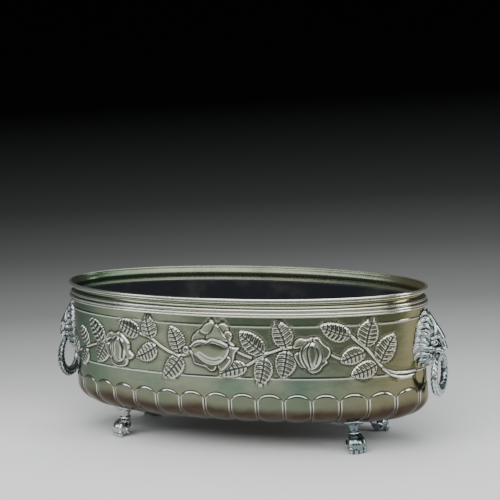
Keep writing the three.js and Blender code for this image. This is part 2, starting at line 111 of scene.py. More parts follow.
class Shader:
    """A material under construction."""

    def __init__(self, name: str) -> None:
        """Starts a material with a Principled BSDF that is joined to its output."""
        self.material = bpy.data.materials.new(name)
        self.material.use_nodes = True
        self.tree = self.material.node_tree
        self.surface = self.tree.nodes["Principled BSDF"]

    def node(self, kind: str, settings: dict | None = None, inputs: dict | None = None) -> bpy.types.Node:
        """Adds a node.

        Args:
            kind: The node's type.
            settings: Its properties, set first. "stops" sets a colour ramp's stops.
            inputs: Values or sockets for its inputs, by name or number.

        Returns:
            The new node.
        """
        node = self.tree.nodes.new(kind)
        for key, value in (settings or {}).items():
            if key == "stops":
                self._set_stops(node.color_ramp, value)
            else:
                setattr(node, key, value)
        for key, value in (inputs or {}).items():
            self.feed(node.inputs[key], value)
        return node

    def out(
        self, kind: str, settings: dict | None = None, inputs: dict | None = None, output: str | int = 0
    ) -> Sock:
        """Adds a node as `node` does, and returns one of its outputs by name or number."""
        return Sock(self, self.node(kind, settings, inputs).outputs[output])

    def feed(self, target: bpy.types.NodeSocket, value: "Sock | float | Sequence[float]") -> None:
        """Links a socket to an input, or sets a plain value on it.

        Args:
            target: The input.
            value: The socket, number or colour that it takes.
        """
        if isinstance(value, Sock):
            self.tree.links.new(value.socket, target)
            return
        if target.type == "RGBA" and len(value) == 3:
            value = (*value, 1.0)
        target.default_value = value

    @staticmethod
    def _set_stops(ramp: bpy.types.ColorRamp, stops: Sequence[tuple[float, Colour]]) -> None:
        """Sets a ramp's stops.

        Args:
            ramp: The ramp.
            stops: Pairs of position and colour.
        """
        while len(ramp.elements) < len(stops):
            ramp.elements.new(1.0)
        for element, (position, colour) in zip(ramp.elements, stops):
            element.position = position
            element.color = (*colour, 1.0)

    def mix(self, factor: "Sock | float", a: "Sock | Colour", b: "Sock | Colour") -> Sock:
        """Mixes two colours."""
        return self.out("ShaderNodeMix", {"data_type": "RGBA"}, {0: factor, 6: a, 7: b}, 2)

    def place(self, stretch: Point3 = (1.0, 1.0, 1.0), turn: Point3 = (0.0, 0.0, 0.0)) -> Sock:
        """Gives the piece's own coordinates in metres, stretched and turned."""
        start = self.out("ShaderNodeTexCoord", output="Object")
        values = {"Vector": start, "Scale": stretch, "Rotation": turn}
        return self.out("ShaderNodeMapping", None, values)

    def place_part(self, axis: int) -> Sock:
        """Gives one of the piece's own coordinates in metres: 0 for X, 1 for Y, 2 for Z."""
        return self.out("ShaderNodeSeparateXYZ", None, {"Vector": self.place()}, axis)

    def noise(
        self, scale: float, detail: float, roughness: float = 0.5, stretch: Point3 = (1.0, 1.0, 1.0)
    ) -> Sock:
        """Gives noise from 0 to 1 on the piece's own coordinates."""
        values = {"Vector": self.place(stretch), "Scale": scale, "Detail": detail, "Roughness": roughness}
        return self.out("ShaderNodeTexNoise", None, values)

    def attribute(self, name: str) -> Sock:
        """Reads a number that the mesh carries at each vertex."""
        return self.out("ShaderNodeAttribute", {"attribute_name": name}, output="Fac")

    def bump(self, height: Sock, distance: float, under: Sock | None = None) -> Sock:
        """Turns a height of 0 to 1, `distance` metres deep, into a normal that lies over another.

        Args:
            height: The height.
            distance: How deep it is, in metres.
            under: The normal that it is added to, if not the surface's own.

        Returns:
            The new normal.
        """
        values = {"Height": height, "Distance": distance}
        if under:
            values["Normal"] = under
        return self.out("ShaderNodeBump", None, values)

    def finish(self, **inputs: "Sock | float | Colour") -> bpy.types.Material:
        """Feeds the Principled BSDF.

        Args:
            inputs: Values or sockets for its inputs, by name, with _ for each space.

        Returns:
            The finished material.
        """
        for key, value in inputs.items():
            self.feed(self.surface.inputs[key.replace("_", " ")], value)
        return self.material


# ---- Finishes -------------------------------------------------------------------------------------


@dataclass(frozen=True)
class Tone:
    """A tone painted into the colour for reflection or shade, which comes in between two places along an
    axis, 0 for X and 2 for Z, in metres.
    """

    axis: int
    start: float
    end: float
    waver: float
    strength: float
    colour: Colour


@dataclass(frozen=True)
class AgedBrass:
    """Polished brass that has aged: a toned surface with painted reflection in its colours, hollows dark with
    patina and painted shade, and heights bright from rubbing and painted highlights.
    """

    name: str
    # polished and toned are darkened and tinted green-grey: the aged brass's own tone, and painted reflection
    # of green surroundings on the wall.
    polished: Colour = (0.25, 0.27, 0.195)
    toned: Colour = (0.105, 0.165, 0.125)
    tarnished: Colour = (0.15, 0.14, 0.09)
    # A near-white for the heights: bright brass from rubbing, and painted highlight.
    worn: Colour = (0.92, 0.91, 0.82)
    # A near-black for the hollows: patina there, and painted shade.
    crevice: Colour = (0.012, 0.012, 0.009)
    tones: Sequence[Tone] = ()
    roughness: float = 0.14
    ripple_mm: float = 0.35
    punch_mm: float = 0.16

    def material(self) -> bpy.types.Material:
        """Builds the finish, which reads the mesh's numbers for dark hollows (patina and painted shade),
        bright heights (rubbing and painted highlight) and matting.

        Returns:
            The material.
        """
        shader = Shader(self.name)
        recess = shader.attribute("recess")
        wear = shader.attribute("wear")
        matting = shader.attribute("matting")
        clouds = shader.noise(9.0, 4.0, 0.6).between(0.35, 0.7)
        streaks = shader.noise(55.0, 5.0, 0.65, (0.5, 0.5, 1.6)).between(0.45, 0.75)
        specks = shader.noise(420.0, 4.0, 0.7)
        scratches = shader.noise(900.0, 2.0, 0.5, (0.3, 0.3, 0.3))
        hand_work = shader.noise(42.0, 2.0, 0.4)
        cells = {"Vector": shader.place(), "Scale": 620.0}
        punched = shader.out("ShaderNodeTexVoronoi", None, cells, "Distance")

        colour = shader.mix(clouds, self.polished, self.toned)
        # Painted reflection and shade, laid over the colour by place along X or Z.
        for tone in self.tones:
            place = shader.place_part(tone.axis) + (clouds - 0.5) * tone.waver
            colour = shader.mix(place.between(tone.start, tone.end) * tone.strength, colour, tone.colour)
        colour = shader.mix(streaks * 0.35 + matting * 0.35, colour, self.tarnished)
        # Painted highlight on the heights, together with their brightening from rubbing.
        colour = shader.mix(wear * (1.0 - specks.between(0.55, 0.75) * 0.25), colour, self.worn)
        # Patina in the hollows and painted shade there, which also dims the metal and roughens it below.
        hollow_dirt_and_shade = recess * (0.75 + specks * 0.5)
        colour = shader.mix(hollow_dirt_and_shade.between(0.05, 0.85), colour, self.crevice)

        dull = streaks * 0.08 + matting * 0.16 + recess * 0.3 + scratches.between(0.5, 0.8) * 0.05
        grain = (1.0 - punched) * matting * 0.8 + specks * 0.16 + scratches * 0.10
        ripples = shader.bump(hand_work, self.ripple_mm * MM)
        return shader.finish(
            Base_Color=colour,
            Metallic=1.0 - recess * 0.75,
            Roughness=self.roughness + dull,
            Normal=shader.bump(grain, self.punch_mm * MM, ripples),
        )


PAINTED_REFLECTION_AND_SHADE = (
    # Painted reflection of the surroundings: golden towards the right end, green towards the left.
    Tone(0, 0.10, 0.24, 0.02, 0.75, (0.26, 0.205, 0.085)),
    Tone(0, -0.10, -0.215, 0.02, 0.8, (0.045, 0.10, 0.055)),
    # Painted reflection and shade under the body: a tan band, then dark brown towards the bottom.
    Tone(2, 0.081, 0.068, 0.01, 0.5, (0.15, 0.14, 0.09)),
    Tone(2, 0.064, 0.052, 0.01, 0.94, (0.055, 0.034, 0.025)),
)


@dataclass(frozen=True)
class BlackPlastic:
    """Matt moulded plastic with dust and a fine moulding grain."""

    name: str
    body: Colour = (0.012, 0.013, 0.017)
    dust: Colour = (0.09, 0.085, 0.075)

    def material(self) -> bpy.types.Material:
        """Builds the finish.

        Returns:
            The material.
        """
        shader = Shader(self.name)
        grain = shader.noise(1800.0, 2.0)
        dusty = shader.noise(24.0, 5.0, 0.6).between(0.5, 0.8)
        settled = dusty * (0.25 + grain.between(0.4, 0.7) * 0.5)
        return shader.finish(
            Base_Color=shader.mix(settled, self.body, self.dust),
            Roughness=0.62 + dusty * 0.25,
            Specular_IOR_Level=0.15,
            Normal=shader.bump(grain, 0.05 * MM),
        )


@dataclass(frozen=True)
class StudioFloor:
    """A matt floor, pale by the planter, with a painted falloff of light that darkens it behind, and a deeper
    grey well in front of it.
    """

    name: str = "studio_floor"
    turn: float = -22.78
    greys: Sequence[Point2] = (
        (0.0, 0.90),
        (0.12, 0.80),
        (0.38, 0.47),
        (0.70, 0.25),
        (1.2, 0.14),
        (1.83, 0.078),
        (4.4, 0.010),
    )
    reach: float = 5.0
    front: Colour = (0.20, 0.235, 0.21)
    front_from: float = -0.32
    front_to: float = -0.60

    def material(self) -> bpy.types.Material:
        """Builds the finish.

        Returns:
            The material.
        """
        shader = Shader(self.name)
        turned_place = shader.place(turn=(0.0, 0.0, math.radians(self.turn)))
        behind = shader.out("ShaderNodeSeparateXYZ", None, {"Vector": turned_place}, 1)
        # Painted falloff of light: the grey drops from pale by the planter to near black far behind it.
        stops = [(distance / self.reach, (grey, grey, grey)) for distance, grey in self.greys]
        painted_falloff = shader.out("ShaderNodeValToRGB", {"stops": stops}, {"Fac": behind * (1 / self.reach)})
        colour = shader.mix(behind.between(self.front_from, self.front_to), painted_falloff, self.front)
        return shader.finish(Base_Color=colour, Roughness=0.9, Specular_IOR_Level=0.0)


# ---- Mesh building --------------------------------------------------------------------------------


def concavity(mesh: bpy.types.Mesh, spread: int) -> np.ndarray:
    """Measures at each vertex how deep it lies below its surroundings, in metres.

    Args:
        mesh: The mesh to measure.
        spread: How far the surroundings reach, in rounds of averaging over neighbours.

    Returns:
        One signed number per vertex, positive in hollows.
    """
    count = len(mesh.vertices)
    places = np.zeros(count * 3)
    mesh.vertices.foreach_get("co", places)
    places = places.reshape(-1, 3)
    normals = np.zeros(count * 3)
    mesh.vertex_normals.foreach_get("vector", normals)
    edges = np.zeros(len(mesh.edges) * 2, np.int64)
    mesh.edges.foreach_get("vertices", edges)
    a, b = edges.reshape(-1, 2).T
    degree = np.maximum(np.bincount(a, minlength=count) + np.bincount(b, minlength=count), 1)
    mean = places
    for _ in range(spread):
        sums = [
            np.bincount(a, weights=mean[b, axis], minlength=count)
            + np.bincount(b, weights=mean[a, axis], minlength=count)
            for axis in range(3)
        ]
        mean = np.stack(sums, axis=1) / degree[:, None]
    return ((mean - places) * normals.reshape(-1, 3)).sum(axis=1)


def set_number(mesh: bpy.types.Mesh, name: str, values: np.ndarray) -> None:
    """Stores one number per vertex on a mesh, for its shader."""
    attribute = mesh.attributes.new(name, "FLOAT", "POINT")
    attribute.data.foreach_set("value", np.asarray(values, np.float32))


def smoothstep(low: float, high: float, values: np.ndarray) -> np.ndarray:
    """Maps low..high to 0..1 with soft ends."""
    share = np.clip((values - low) / (high - low), 0.0, 1.0)
    return share * share * (3.0 - 2.0 * share)


def bell(values: np.ndarray, middle: float, width: float) -> np.ndarray:
    """Gives a bell curve that is 1 at its middle and about a third one width away."""
    return np.exp(-((values - middle) / width) ** 2)


def mesh_of(bm: bmesh.types.BMesh, name: str) -> bpy.types.Mesh:
    """Writes a bmesh to a new mesh and frees it.

    Args:
        bm: The geometry.
        name: The mesh's name.

    Returns:
        The mesh.
    """
    mesh = bpy.data.meshes.new(name)
    bm.to_mesh(mesh)
    bm.free()
    return mesh


def linked(name: str, data: bpy.types.ID) -> bpy.types.Object:
    """Puts an object with some data into the scene.

    Args:
        name: The object's name.
        data: Its mesh, light or camera.

    Returns:
        The object.
    """
    made = bpy.data.objects.new(name, data)
    bpy.context.scene.collection.objects.link(made)
    return made


@dataclass
class Piece:
    """One finished piece of the visual model, which stands in for nodes of the solid model."""

    name: str
    body: str
    slot: str
    replaces: Sequence[str]
    material: bpy.types.Material

    def add(
        self,
        bm: bmesh.types.BMesh,
        numbers: dict[str, np.ndarray] | None = None,
        cavity_mm: float = 0.0,
        spread: int = 2,
    ) -> bpy.types.Object:
        """Turns a bmesh into a piece that rides on its body.

        Args:
            bm: The finished geometry. It is freed.
            numbers: Ready values per vertex for the shader, by attribute name.
            cavity_mm: If set, how deep a hollow reads as fully dark, measured on the mesh itself.
            spread: How far a hollow's surroundings reach, in rounds of averaging.

        Returns:
            The new object.
        """
        mesh = mesh_of(bm, self.name)
        mesh.shade_smooth()
        numbers = dict(numbers or {})
        if cavity_mm:
            # Hollows darken for patina and painted shade, and rounded heights take a painted highlight with
            # brightening from rubbing.
            hollow = concavity(mesh, spread)
            numbers["recess"] = smoothstep(0.1, 1.0, hollow / (cavity_mm * MM))
            numbers["wear"] = smoothstep(0.25, 1.6, -hollow / (cavity_mm * MM))
        for name, values in numbers.items():
            set_number(mesh, name, values)
        mesh.materials.append(self.material)
        piece = linked(self.name, mesh)
        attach(piece, self.body)
        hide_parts(*self.replaces)
        mesh.calc_loop_triangles()
        LOG.info("%s: %d triangles", self.name, len(mesh.loop_triangles))
        return piece


def arc(centre: Point2, radius: float, start: float, end: float, steps: int) -> list[Point2]:
    """Gives points of an arc between two angles in degrees, both ends included."""
    angles = [math.radians(start + (end - start) * i / steps) for i in range(steps + 1)]
    return [(centre[0] + radius * math.cos(t), centre[1] + radius * math.sin(t)) for t in angles]


def changed(bm: bmesh.types.BMesh, kind: str, **settings: object) -> bmesh.types.BMesh:
    """Runs one modifier over a bmesh.

    Args:
        bm: The geometry. It is freed.
        kind: The modifier's type.
        settings: The modifier's settings.

    Returns:
        The changed geometry.
    """
    mesh = mesh_of(bm, "work")
    work = linked("work", mesh)
    modifier = work.modifiers.new("work", kind)
    for key, value in settings.items():
        setattr(modifier, key, value)
    evaluated = work.evaluated_get(bpy.context.evaluated_depsgraph_get())
    result = bmesh.new()
    result.from_mesh(evaluated.to_mesh())
    evaluated.to_mesh_clear()
    bpy.data.objects.remove(work)
    bpy.data.meshes.remove(mesh)
    return result


def carved(bm: bmesh.types.BMesh, cutter: bmesh.types.BMesh) -> bmesh.types.BMesh:
    """Takes a closed cutter out of a closed shape.

    Args:
        bm: The shape. It is freed.
        cutter: The cutter. It is freed.

    Returns:
        What is left of the shape.
    """
    mesh = mesh_of(cutter, "cutter")
    tool = linked("cutter", mesh)
    result = changed(bm, "BOOLEAN", operation="DIFFERENCE", solver="MANIFOLD", object=tool)
    bpy.data.objects.remove(tool)
    bpy.data.meshes.remove(mesh)
    return result


def revolve(bm: bmesh.types.BMesh, steps: int, merge: float = 1e-6) -> None:
    """Spins all of an outline once round Z and points the faces outwards.

    Args:
        bm: The outline's vertices and edges, which become the shape.
        steps: How many stations go round.
        merge: How close vertices have to be to become one.
    """
    geom = [*bm.verts, *bm.edges]
    axes = {"cent": (0, 0, 0), "axis": (0, 0, 1), "dvec": (0, 0, 0)}
    bmesh.ops.spin(bm, geom=geom, angle=2 * math.pi, steps=steps, use_merge=True, use_duplicate=False, **axes)
    bmesh.ops.remove_doubles(bm, verts=bm.verts, dist=merge)
    bmesh.ops.recalc_face_normals(bm, faces=bm.faces)


def turned(profile: Sequence[Point2], steps: int, closed: bool = False) -> bmesh.types.BMesh:
    """Revolves an outline round Z.

    Args:
        profile: The outline's (radius, height) points.
        steps: How many stations go round.
        closed: Whether the outline returns to its first point. If not, it starts and ends on the axis.

    Returns:
        The closed shape, with its faces outwards.
    """
    bm = bmesh.new()
    verts = [bm.verts.new((radius, 0.0, height)) for radius, height in profile]
    following = verts[1:] + verts[:1] if closed else verts[1:]
    for pair in zip(verts, following):
        bm.edges.new(pair)
    revolve(bm, steps)
    return bm


class Clay:
    """Rounded lumps that are gathered first and then joined into one skin."""

    def __init__(self) -> None:
        """Models the round bead that every lump is a copy of."""
        bead = bmesh.new()
        bmesh.ops.create_icosphere(bead, subdivisions=3, radius=1.0)
        self.bead_places = np.array([vert.co for vert in bead.verts])
        self.bead_faces = np.array([[vert.index for vert in face.verts] for face in bead.faces])
        bead.free()
        self.places: list[np.ndarray] = []

    def press(self, place: Matrix) -> None:
        """Presses on one more copy of the bead."""
        turn = np.array(place.to_3x3())
        self.places.append(self.bead_places @ turn.T + np.array(place.translation))

    def joined(self, voxel: float, core: bmesh.types.BMesh | None = None) -> bmesh.types.BMesh:
        """Joins all the lumps into one closed skin.

        Args:
            voxel: The size of the skin's small faces.
            core: A closed shape that the lumps sit on. It is freed.

        Returns:
            The skin.
        """
        offsets = np.arange(len(self.places)) * len(self.bead_places)
        faces = (self.bead_faces[None] + offsets[:, None, None]).reshape(-1, 3)
        mesh = bpy.data.meshes.new("clay")
        mesh.from_pydata(np.concatenate(self.places), [], faces)
        bm = core or bmesh.new()
        bm.from_mesh(mesh)
        bpy.data.meshes.remove(mesh)
        bm = changed(bm, "REMESH", mode="VOXEL", voxel_size=voxel)
        every_way = {"use_axis_x": True, "use_axis_y": True, "use_axis_z": True}
        bmesh.ops.smooth_vert(bm, verts=bm.verts, factor=0.5, **every_way)
        return bm


@dataclass(frozen=True)
class Lump:
    """A rounded lump of clay: an ellipsoid that is tipped round Y by some degrees."""

    centre: Point3
    radii: Point3
    tip: float = 0.0

    def add(self, clay: Clay) -> None:
        """Adds the lump."""
        place = Matrix.Translation(self.centre) @ Matrix.Rotation(math.radians(self.tip), 4, "Y")
        clay.press(place @ Matrix.Diagonal((*self.radii, 1.0)))


@dataclass(frozen=True)
class Strand:
    """A tapering roll of clay along a curve."""

    points: Sequence[Point3]
    start: float
    end: float

    def add(self, clay: Clay) -> None:
        """Adds the strand as close beads that the joining turns into one roll.

        Args:
            clay: Where it is added.
        """
        curve = catmull(self.points, closed=False, steps=8)
        for i, place in enumerate(curve):
            radius = self.start + (self.end - self.start) * i / (len(curve) - 1)
            clay.press(Matrix.Translation(place) @ Matrix.Scale(radius, 4))


@dataclass
class Oval:
    """The planter's plan: nested ovals whose half length and half width shrink together."""

    half_length: float
    half_width: float
    along_table: np.ndarray = field(init=False)
    turn_table: np.ndarray = field(init=False)

    def __post_init__(self) -> None:
        """Tabulates the distance round the wall, from the middle of the front."""
        turns = np.linspace(-1.5 * math.pi, 0.5 * math.pi, 8193)
        middles = (turns[1:] + turns[:-1]) / 2
        speed = np.hypot(self.half_length * np.sin(middles), self.half_width * np.cos(middles))
        along = np.concatenate([[0.0], np.cumsum(speed * np.diff(turns))])
        self.turn_table = turns
        self.along_table = along - along[-1] / 2

    @property
    def half_round(self) -> float:
        """The wall's length from the middle of the front to the middle of the back."""
        return float(self.along_table[-1])

    def turn(self, along: np.ndarray) -> np.ndarray:
        """Gives the ellipse's parameter at a distance along the wall."""
        return np.interp(along, self.along_table, self.turn_table)

    def outward(self, along: np.ndarray) -> tuple[np.ndarray, np.ndarray]:
        """Gives the wall's outward direction.

        Args:
            along: Distances along the wall.

        Returns:
            The direction's X and Y parts.
        """
        turn = self.turn(along)
        x = np.cos(turn) / self.half_length
        y = np.sin(turn) / self.half_width
        length = np.hypot(x, y)
        return x / length, y / length

    def end_reach(self, across: float) -> float:
        """Gives how far the wall reaches along X at a place across the oval."""
        return self.half_length * math.sqrt(1 - (across / self.half_width) ** 2)

    def block(self, gap: float, low: float, high: float) -> bmesh.types.BMesh:
        """Makes a solid oval block.

        Args:
            gap: How far it stands outside the wall.
            low: The height of its underside.
            high: The height of its top.

        Returns:
            The block.
        """
        half_width = self.half_width + gap
        bm = turned([(0.0, low), (half_width, low), (half_width, high), (0.0, high)], 256)
        self.stretch(bm)
        return bm

    def stretch(self, bm: bmesh.types.BMesh) -> None:
        """Stretches a shape of revolution into nested ovals.

        Args:
            bm: The shape, revolved round Z with its half widths for radii.
        """
        extra = self.half_length - self.half_width
        for vert in bm.verts:
            radius = math.hypot(vert.co.x, vert.co.y)
            if radius > 1e-7:
                vert.co.x *= (radius + extra) / radius

    def spin(self, profile: Sequence[Point2], steps: int = 240) -> bmesh.types.BMesh:
        """Sweeps a closed outline of (half width, height) points round the oval.

        Args:
            profile: The outline's points in metres, in order, without the first one repeated.
            steps: How many stations go round the oval.

        Returns:
            A closed ring with its faces outwards.
        """
        bm = turned(profile, steps, closed=True)
        self.stretch(bm)
        return bm


# ---- Repousse relief ------------------------------------------------------------------------------


@dataclass
class Relief:
    """A height field over the unrolled wall, in millimetres, with the marks that its finish reads."""

    along: np.ndarray
    up: np.ndarray
    height: np.ndarray = field(init=False)
    recess: np.ndarray = field(init=False)
    wear: np.ndarray = field(init=False)
    matting: np.ndarray = field(init=False)

    def __post_init__(self) -> None:
        """Starts from a plain wall."""
        shape = (len(self.up), len(self.along))
        self.height = np.zeros(shape)
        self.recess = np.zeros(shape)
        self.wear = np.zeros(shape)
        self.matting = np.zeros(shape)

    def window(
        self, low: Point2, high: Point2, margin: float = 3.0
    ) -> tuple[slice, slice, np.ndarray, np.ndarray]:
        """Finds the part of the field round a shape.

        Args:
            low: The shape's lowest along and up.
            high: Its highest along and up.
            margin: How much more to take on each side.

        Returns:
            The row slice, the column slice, and the along and up of each point in them.
        """
        columns = slice(*np.searchsorted(self.along, (low[0] - margin, high[0] + margin)))
        rows = slice(*np.searchsorted(self.up, (low[1] - margin, high[1] + margin)))
        along, up = np.meshgrid(self.along[columns], self.up[rows])
        return rows, columns, along, up

    def lay(
        self,
        rows: slice,
        columns: slice,
        edge: np.ndarray,
        height: np.ndarray,
        recess: np.ndarray | float = 0.0,
        wear: np.ndarray | float = 0.0,
    ) -> None:
        """Lays a raised shape over what is there, with a chased line round it.

        Args:
            rows: The rows of its window.
            columns: The columns of its window.
            edge: The distance inside the shape's outline, negative outside it.
            height: The shape's height.
            recess: How dark its own chased lines are, from 0 to 1.
            wear: How bright it is inside its rim, from rubbing and painted highlight, from 0 to 1.
        """
        cover = smoothstep(-0.35, 0.45, edge)
        # The chased line darkens for patina in it and for painted shade.
        chased = bell(edge, -0.75, 0.6)
        under = self.height[rows, columns] - 0.55 * chased
        self.height[rows, columns] = under * (1 - cover) + height * cover
        dark = np.maximum(self.recess[rows, columns], chased)
        self.recess[rows, columns] = dark * (1 - cover) + recess * cover
        # A painted highlight just inside the rim, together with the brightening from rubbing there.
        rim = bell(edge, 1.1, 0.7) * cover
        rubbed_and_highlit = np.maximum(0.9 * rim, wear * cover)
        self.wear[rows, columns] = self.wear[rows, columns] * (1 - cover) + rubbed_and_highlit
        near = smoothstep(-7.0, -0.5, edge) * (1 - cover)
        matting = np.maximum(self.matting[rows, columns], near)
        self.matting[rows, columns] = matting * (1 - cover)


def catmull(points: Sequence[Sequence[float]], closed: bool, steps: int = 7) -> np.ndarray:
    """Runs a smooth curve through points.

    Args:
        points: The points to pass.
        closed: Whether the curve returns to its first point.
        steps: How many points stand for each span.

    Returns:
        The curve's points, one per row.
    """
    given = [np.array(point, float) for point in points]
    if closed:
        given = [given[-1], *given, given[0], given[1]]
    else:
        given = [given[0], *given, given[-1]]
    curve = []
    for a, b, c, d in zip(given, given[1:], given[2:], given[3:]):
        for t in np.arange(steps) / steps:
            square = (2 * a - 5 * b + 4 * c - d) * t ** 2
            cube = (3 * b - a - 3 * c + d) * t ** 3
            curve.append(0.5 * (2 * b + (c - a) * t + square + cube))
    if not closed:
        curve.append(given[-1])
    return np.array(curve)


def distance_to(
    curve: np.ndarray, along: np.ndarray, up: np.ndarray, closed: bool
) -> tuple[np.ndarray, np.ndarray]:
    """Measures how far points lie from a curve.

    Args:
        curve: The curve's points.
        along: The points' places along the wall.
        up: Their places up the wall.
        closed: Whether the curve returns to its first point.

    Returns:
        The distance, and for a closed curve whether each point is inside it.
    """
    ends = np.roll(curve, -1, axis=0) if closed else curve[1:]
    starts = curve if closed else curve[:-1]
    best = np.full(along.shape, 1e9)
    inside = np.zeros(along.shape, bool)
    for (x0, y0), (x1, y1) in zip(starts, ends):
        dx, dy = x1 - x0, y1 - y0
        share = np.clip(((along - x0) * dx + (up - y0) * dy) / max(dx * dx + dy * dy, 1e-9), 0, 1)
        best = np.minimum(best, np.hypot(along - x0 - share * dx, up - y0 - share * dy))
        if closed and y0 != y1:
            crosses = (up < y0) != (up < y1)
            inside ^= crosses & (along < x0 + (up - y0) * dx / dy)
    return best, inside


@dataclass(frozen=True)
class Leaf:
    """A broad serrated rose leaf with chiselled veins, in millimetres on the unrolled wall."""

    base: Point2
    tip: Point2
    half_width: float = 10.0
    bend: float = 0.0
    lean: float = 0.0
    veins: int = 6

    def press(self, relief: Relief) -> None:
        """Raises the leaf on the wall.

        Args:
            relief: The wall's relief.
        """
        (x0, y0), (x1, y1) = self.base, self.tip
        reach = self.half_width + 4
        low = (min(x0, x1) - reach, min(y0, y1) - reach)
        high = (max(x0, x1) + reach, max(y0, y1) + reach)
        rows, columns, along, up = relief.window(low, high)
        length = math.hypot(x1 - x0, y1 - y0)
        ex, ey = (x1 - x0) / length, (y1 - y0) / length
        u = ((along - x0) * ex + (up - y0) * ey) / length
        side = -(along - x0) * ey + (up - y0) * ex - self.bend * length * 4 * u * (1 - u)
        inside_u = np.clip(u, 1e-4, 1 - 1e-4)
        teeth = 0.5 - np.abs((u * (self.veins + 1) * 1.5) % 1.0 - 0.5)
        width = self.half_width * 2.32 * inside_u ** 0.5 * (1 - inside_u) ** 0.72 * (1 + 0.30 * teeth)
        past_ends = np.maximum(-u, u - 1) * length
        edge = np.where(past_ends > 0, -np.hypot(past_ends, side), width - np.abs(side))
        share = np.clip(np.abs(side) / np.maximum(width, 0.1), 0, 1)
        dome = smoothstep(-0.2, 1.3, edge) + 1.5 * (1 - share ** 2)
        phase = (u * (self.veins + 0.5) - 0.75 * np.abs(side) / self.half_width) % 1.0
        groove = bell(phase, 0.5, 0.17)
        groove *= smoothstep(0.9, 0.72, share) * smoothstep(0.3, 1.2, np.abs(side))
        groove *= smoothstep(0.03, 0.12, u) * smoothstep(0.97, 0.85, u)
        midrib = bell(side, 0.0, 0.75) * smoothstep(0.98, 0.85, u)
        cut = np.maximum(groove, midrib)
        height = dome - 1.05 * cut + self.lean * side / self.half_width
        # Painted highlights, with brightening from rubbing, on the shoulders beside the midrib and on one
        # side of each vein; the cut veins darken for patina and painted shade.
        beside_rib = 0.9 * bell(np.abs(side), 1.9, 0.7)
        beside_vein = 0.7 * (bell(phase, 0.8, 0.12) * smoothstep(0.95, 0.6, share))
        relief.lay(rows, columns, edge, height, cut, np.maximum(beside_rib, beside_vein) * (1 - cut))


@dataclass(frozen=True)
class Petal:
    """A petal with a given outline in millimetres on the unrolled wall."""

    outline: Sequence[Point2]
    height: float = 2.0
    round_edge: float = 3.0
    tilt: Point2 = (0.0, 0.0)
    lip: float = 0.5

    def press(self, relief: Relief) -> None:
        """Raises the petal on the wall.

        Args:
            relief: The wall's relief.
        """
        curve = catmull(self.outline, closed=True)
        rows, columns, along, up = relief.window(tuple(curve.min(axis=0)), tuple(curve.max(axis=0)))
        distance, inside = distance_to(curve, along, up, closed=True)
        edge = np.where(inside, distance, -distance)
        centre = curve.mean(axis=0)
        crown = 1 - (1 - np.clip(edge / self.round_edge, 0, 1)) ** 2
        lip = bell(edge, 1.2, 0.8)
        slope = self.tilt[0] * (along - centre[0]) + self.tilt[1] * (up - centre[1])
        height = 0.8 + (self.height - 0.8) * crown + self.lip * lip + slope
        relief.lay(rows, columns, edge, height)


@dataclass(frozen=True)
class Stroke:
    """A raised stem or lip, or with a negative height a chased groove, along a curve."""

    points: Sequence[Point2]
    radius: float = 1.5
    height: float = 1.3

    def press(self, relief: Relief) -> None:
        """Draws the stroke on the wall.

        Args:
            relief: The wall's relief.
        """
        curve = catmull(self.points, closed=False)
        rows, columns, along, up = relief.window(tuple(curve.min(axis=0)), tuple(curve.max(axis=0)))
        distance, _ = distance_to(curve, along, up, closed=False)
        if self.height > 0:
            round_back = np.sqrt(np.clip(1 - (distance / (self.radius + 0.4)) ** 2, 0, 1))
            ground = np.maximum(relief.height[rows, columns], 0)
            relief.lay(rows, columns, self.radius - distance, ground * 0.6 + self.height * round_back)
            return
        # A chased groove darkens for patina and painted shade, and its shoulders take a painted highlight
        # with the brightening from rubbing.
        mark = bell(distance, 0.0, self.radius)
        relief.height[rows, columns] += self.height * mark
        dark = min(1.0, -self.height / 0.7)
        relief.recess[rows, columns] = np.maximum(relief.recess[rows, columns], dark * mark)
        shoulder = bell(distance, 2.2 * self.radius, self.radius)
        relief.wear[rows, columns] = np.maximum(relief.wear[rows, columns] * (1 - mark), 0.6 * shoulder)


def oval_points(centre: Point2, radii: Point2, count: int = 10) -> list[Point2]:
    """Gives points of an ellipse, for a round petal."""
    turns = [2 * math.pi * i / count for i in range(count)]
    return [(centre[0] + radii[0] * math.cos(t), centre[1] + radii[1] * math.sin(t)) for t in turns]


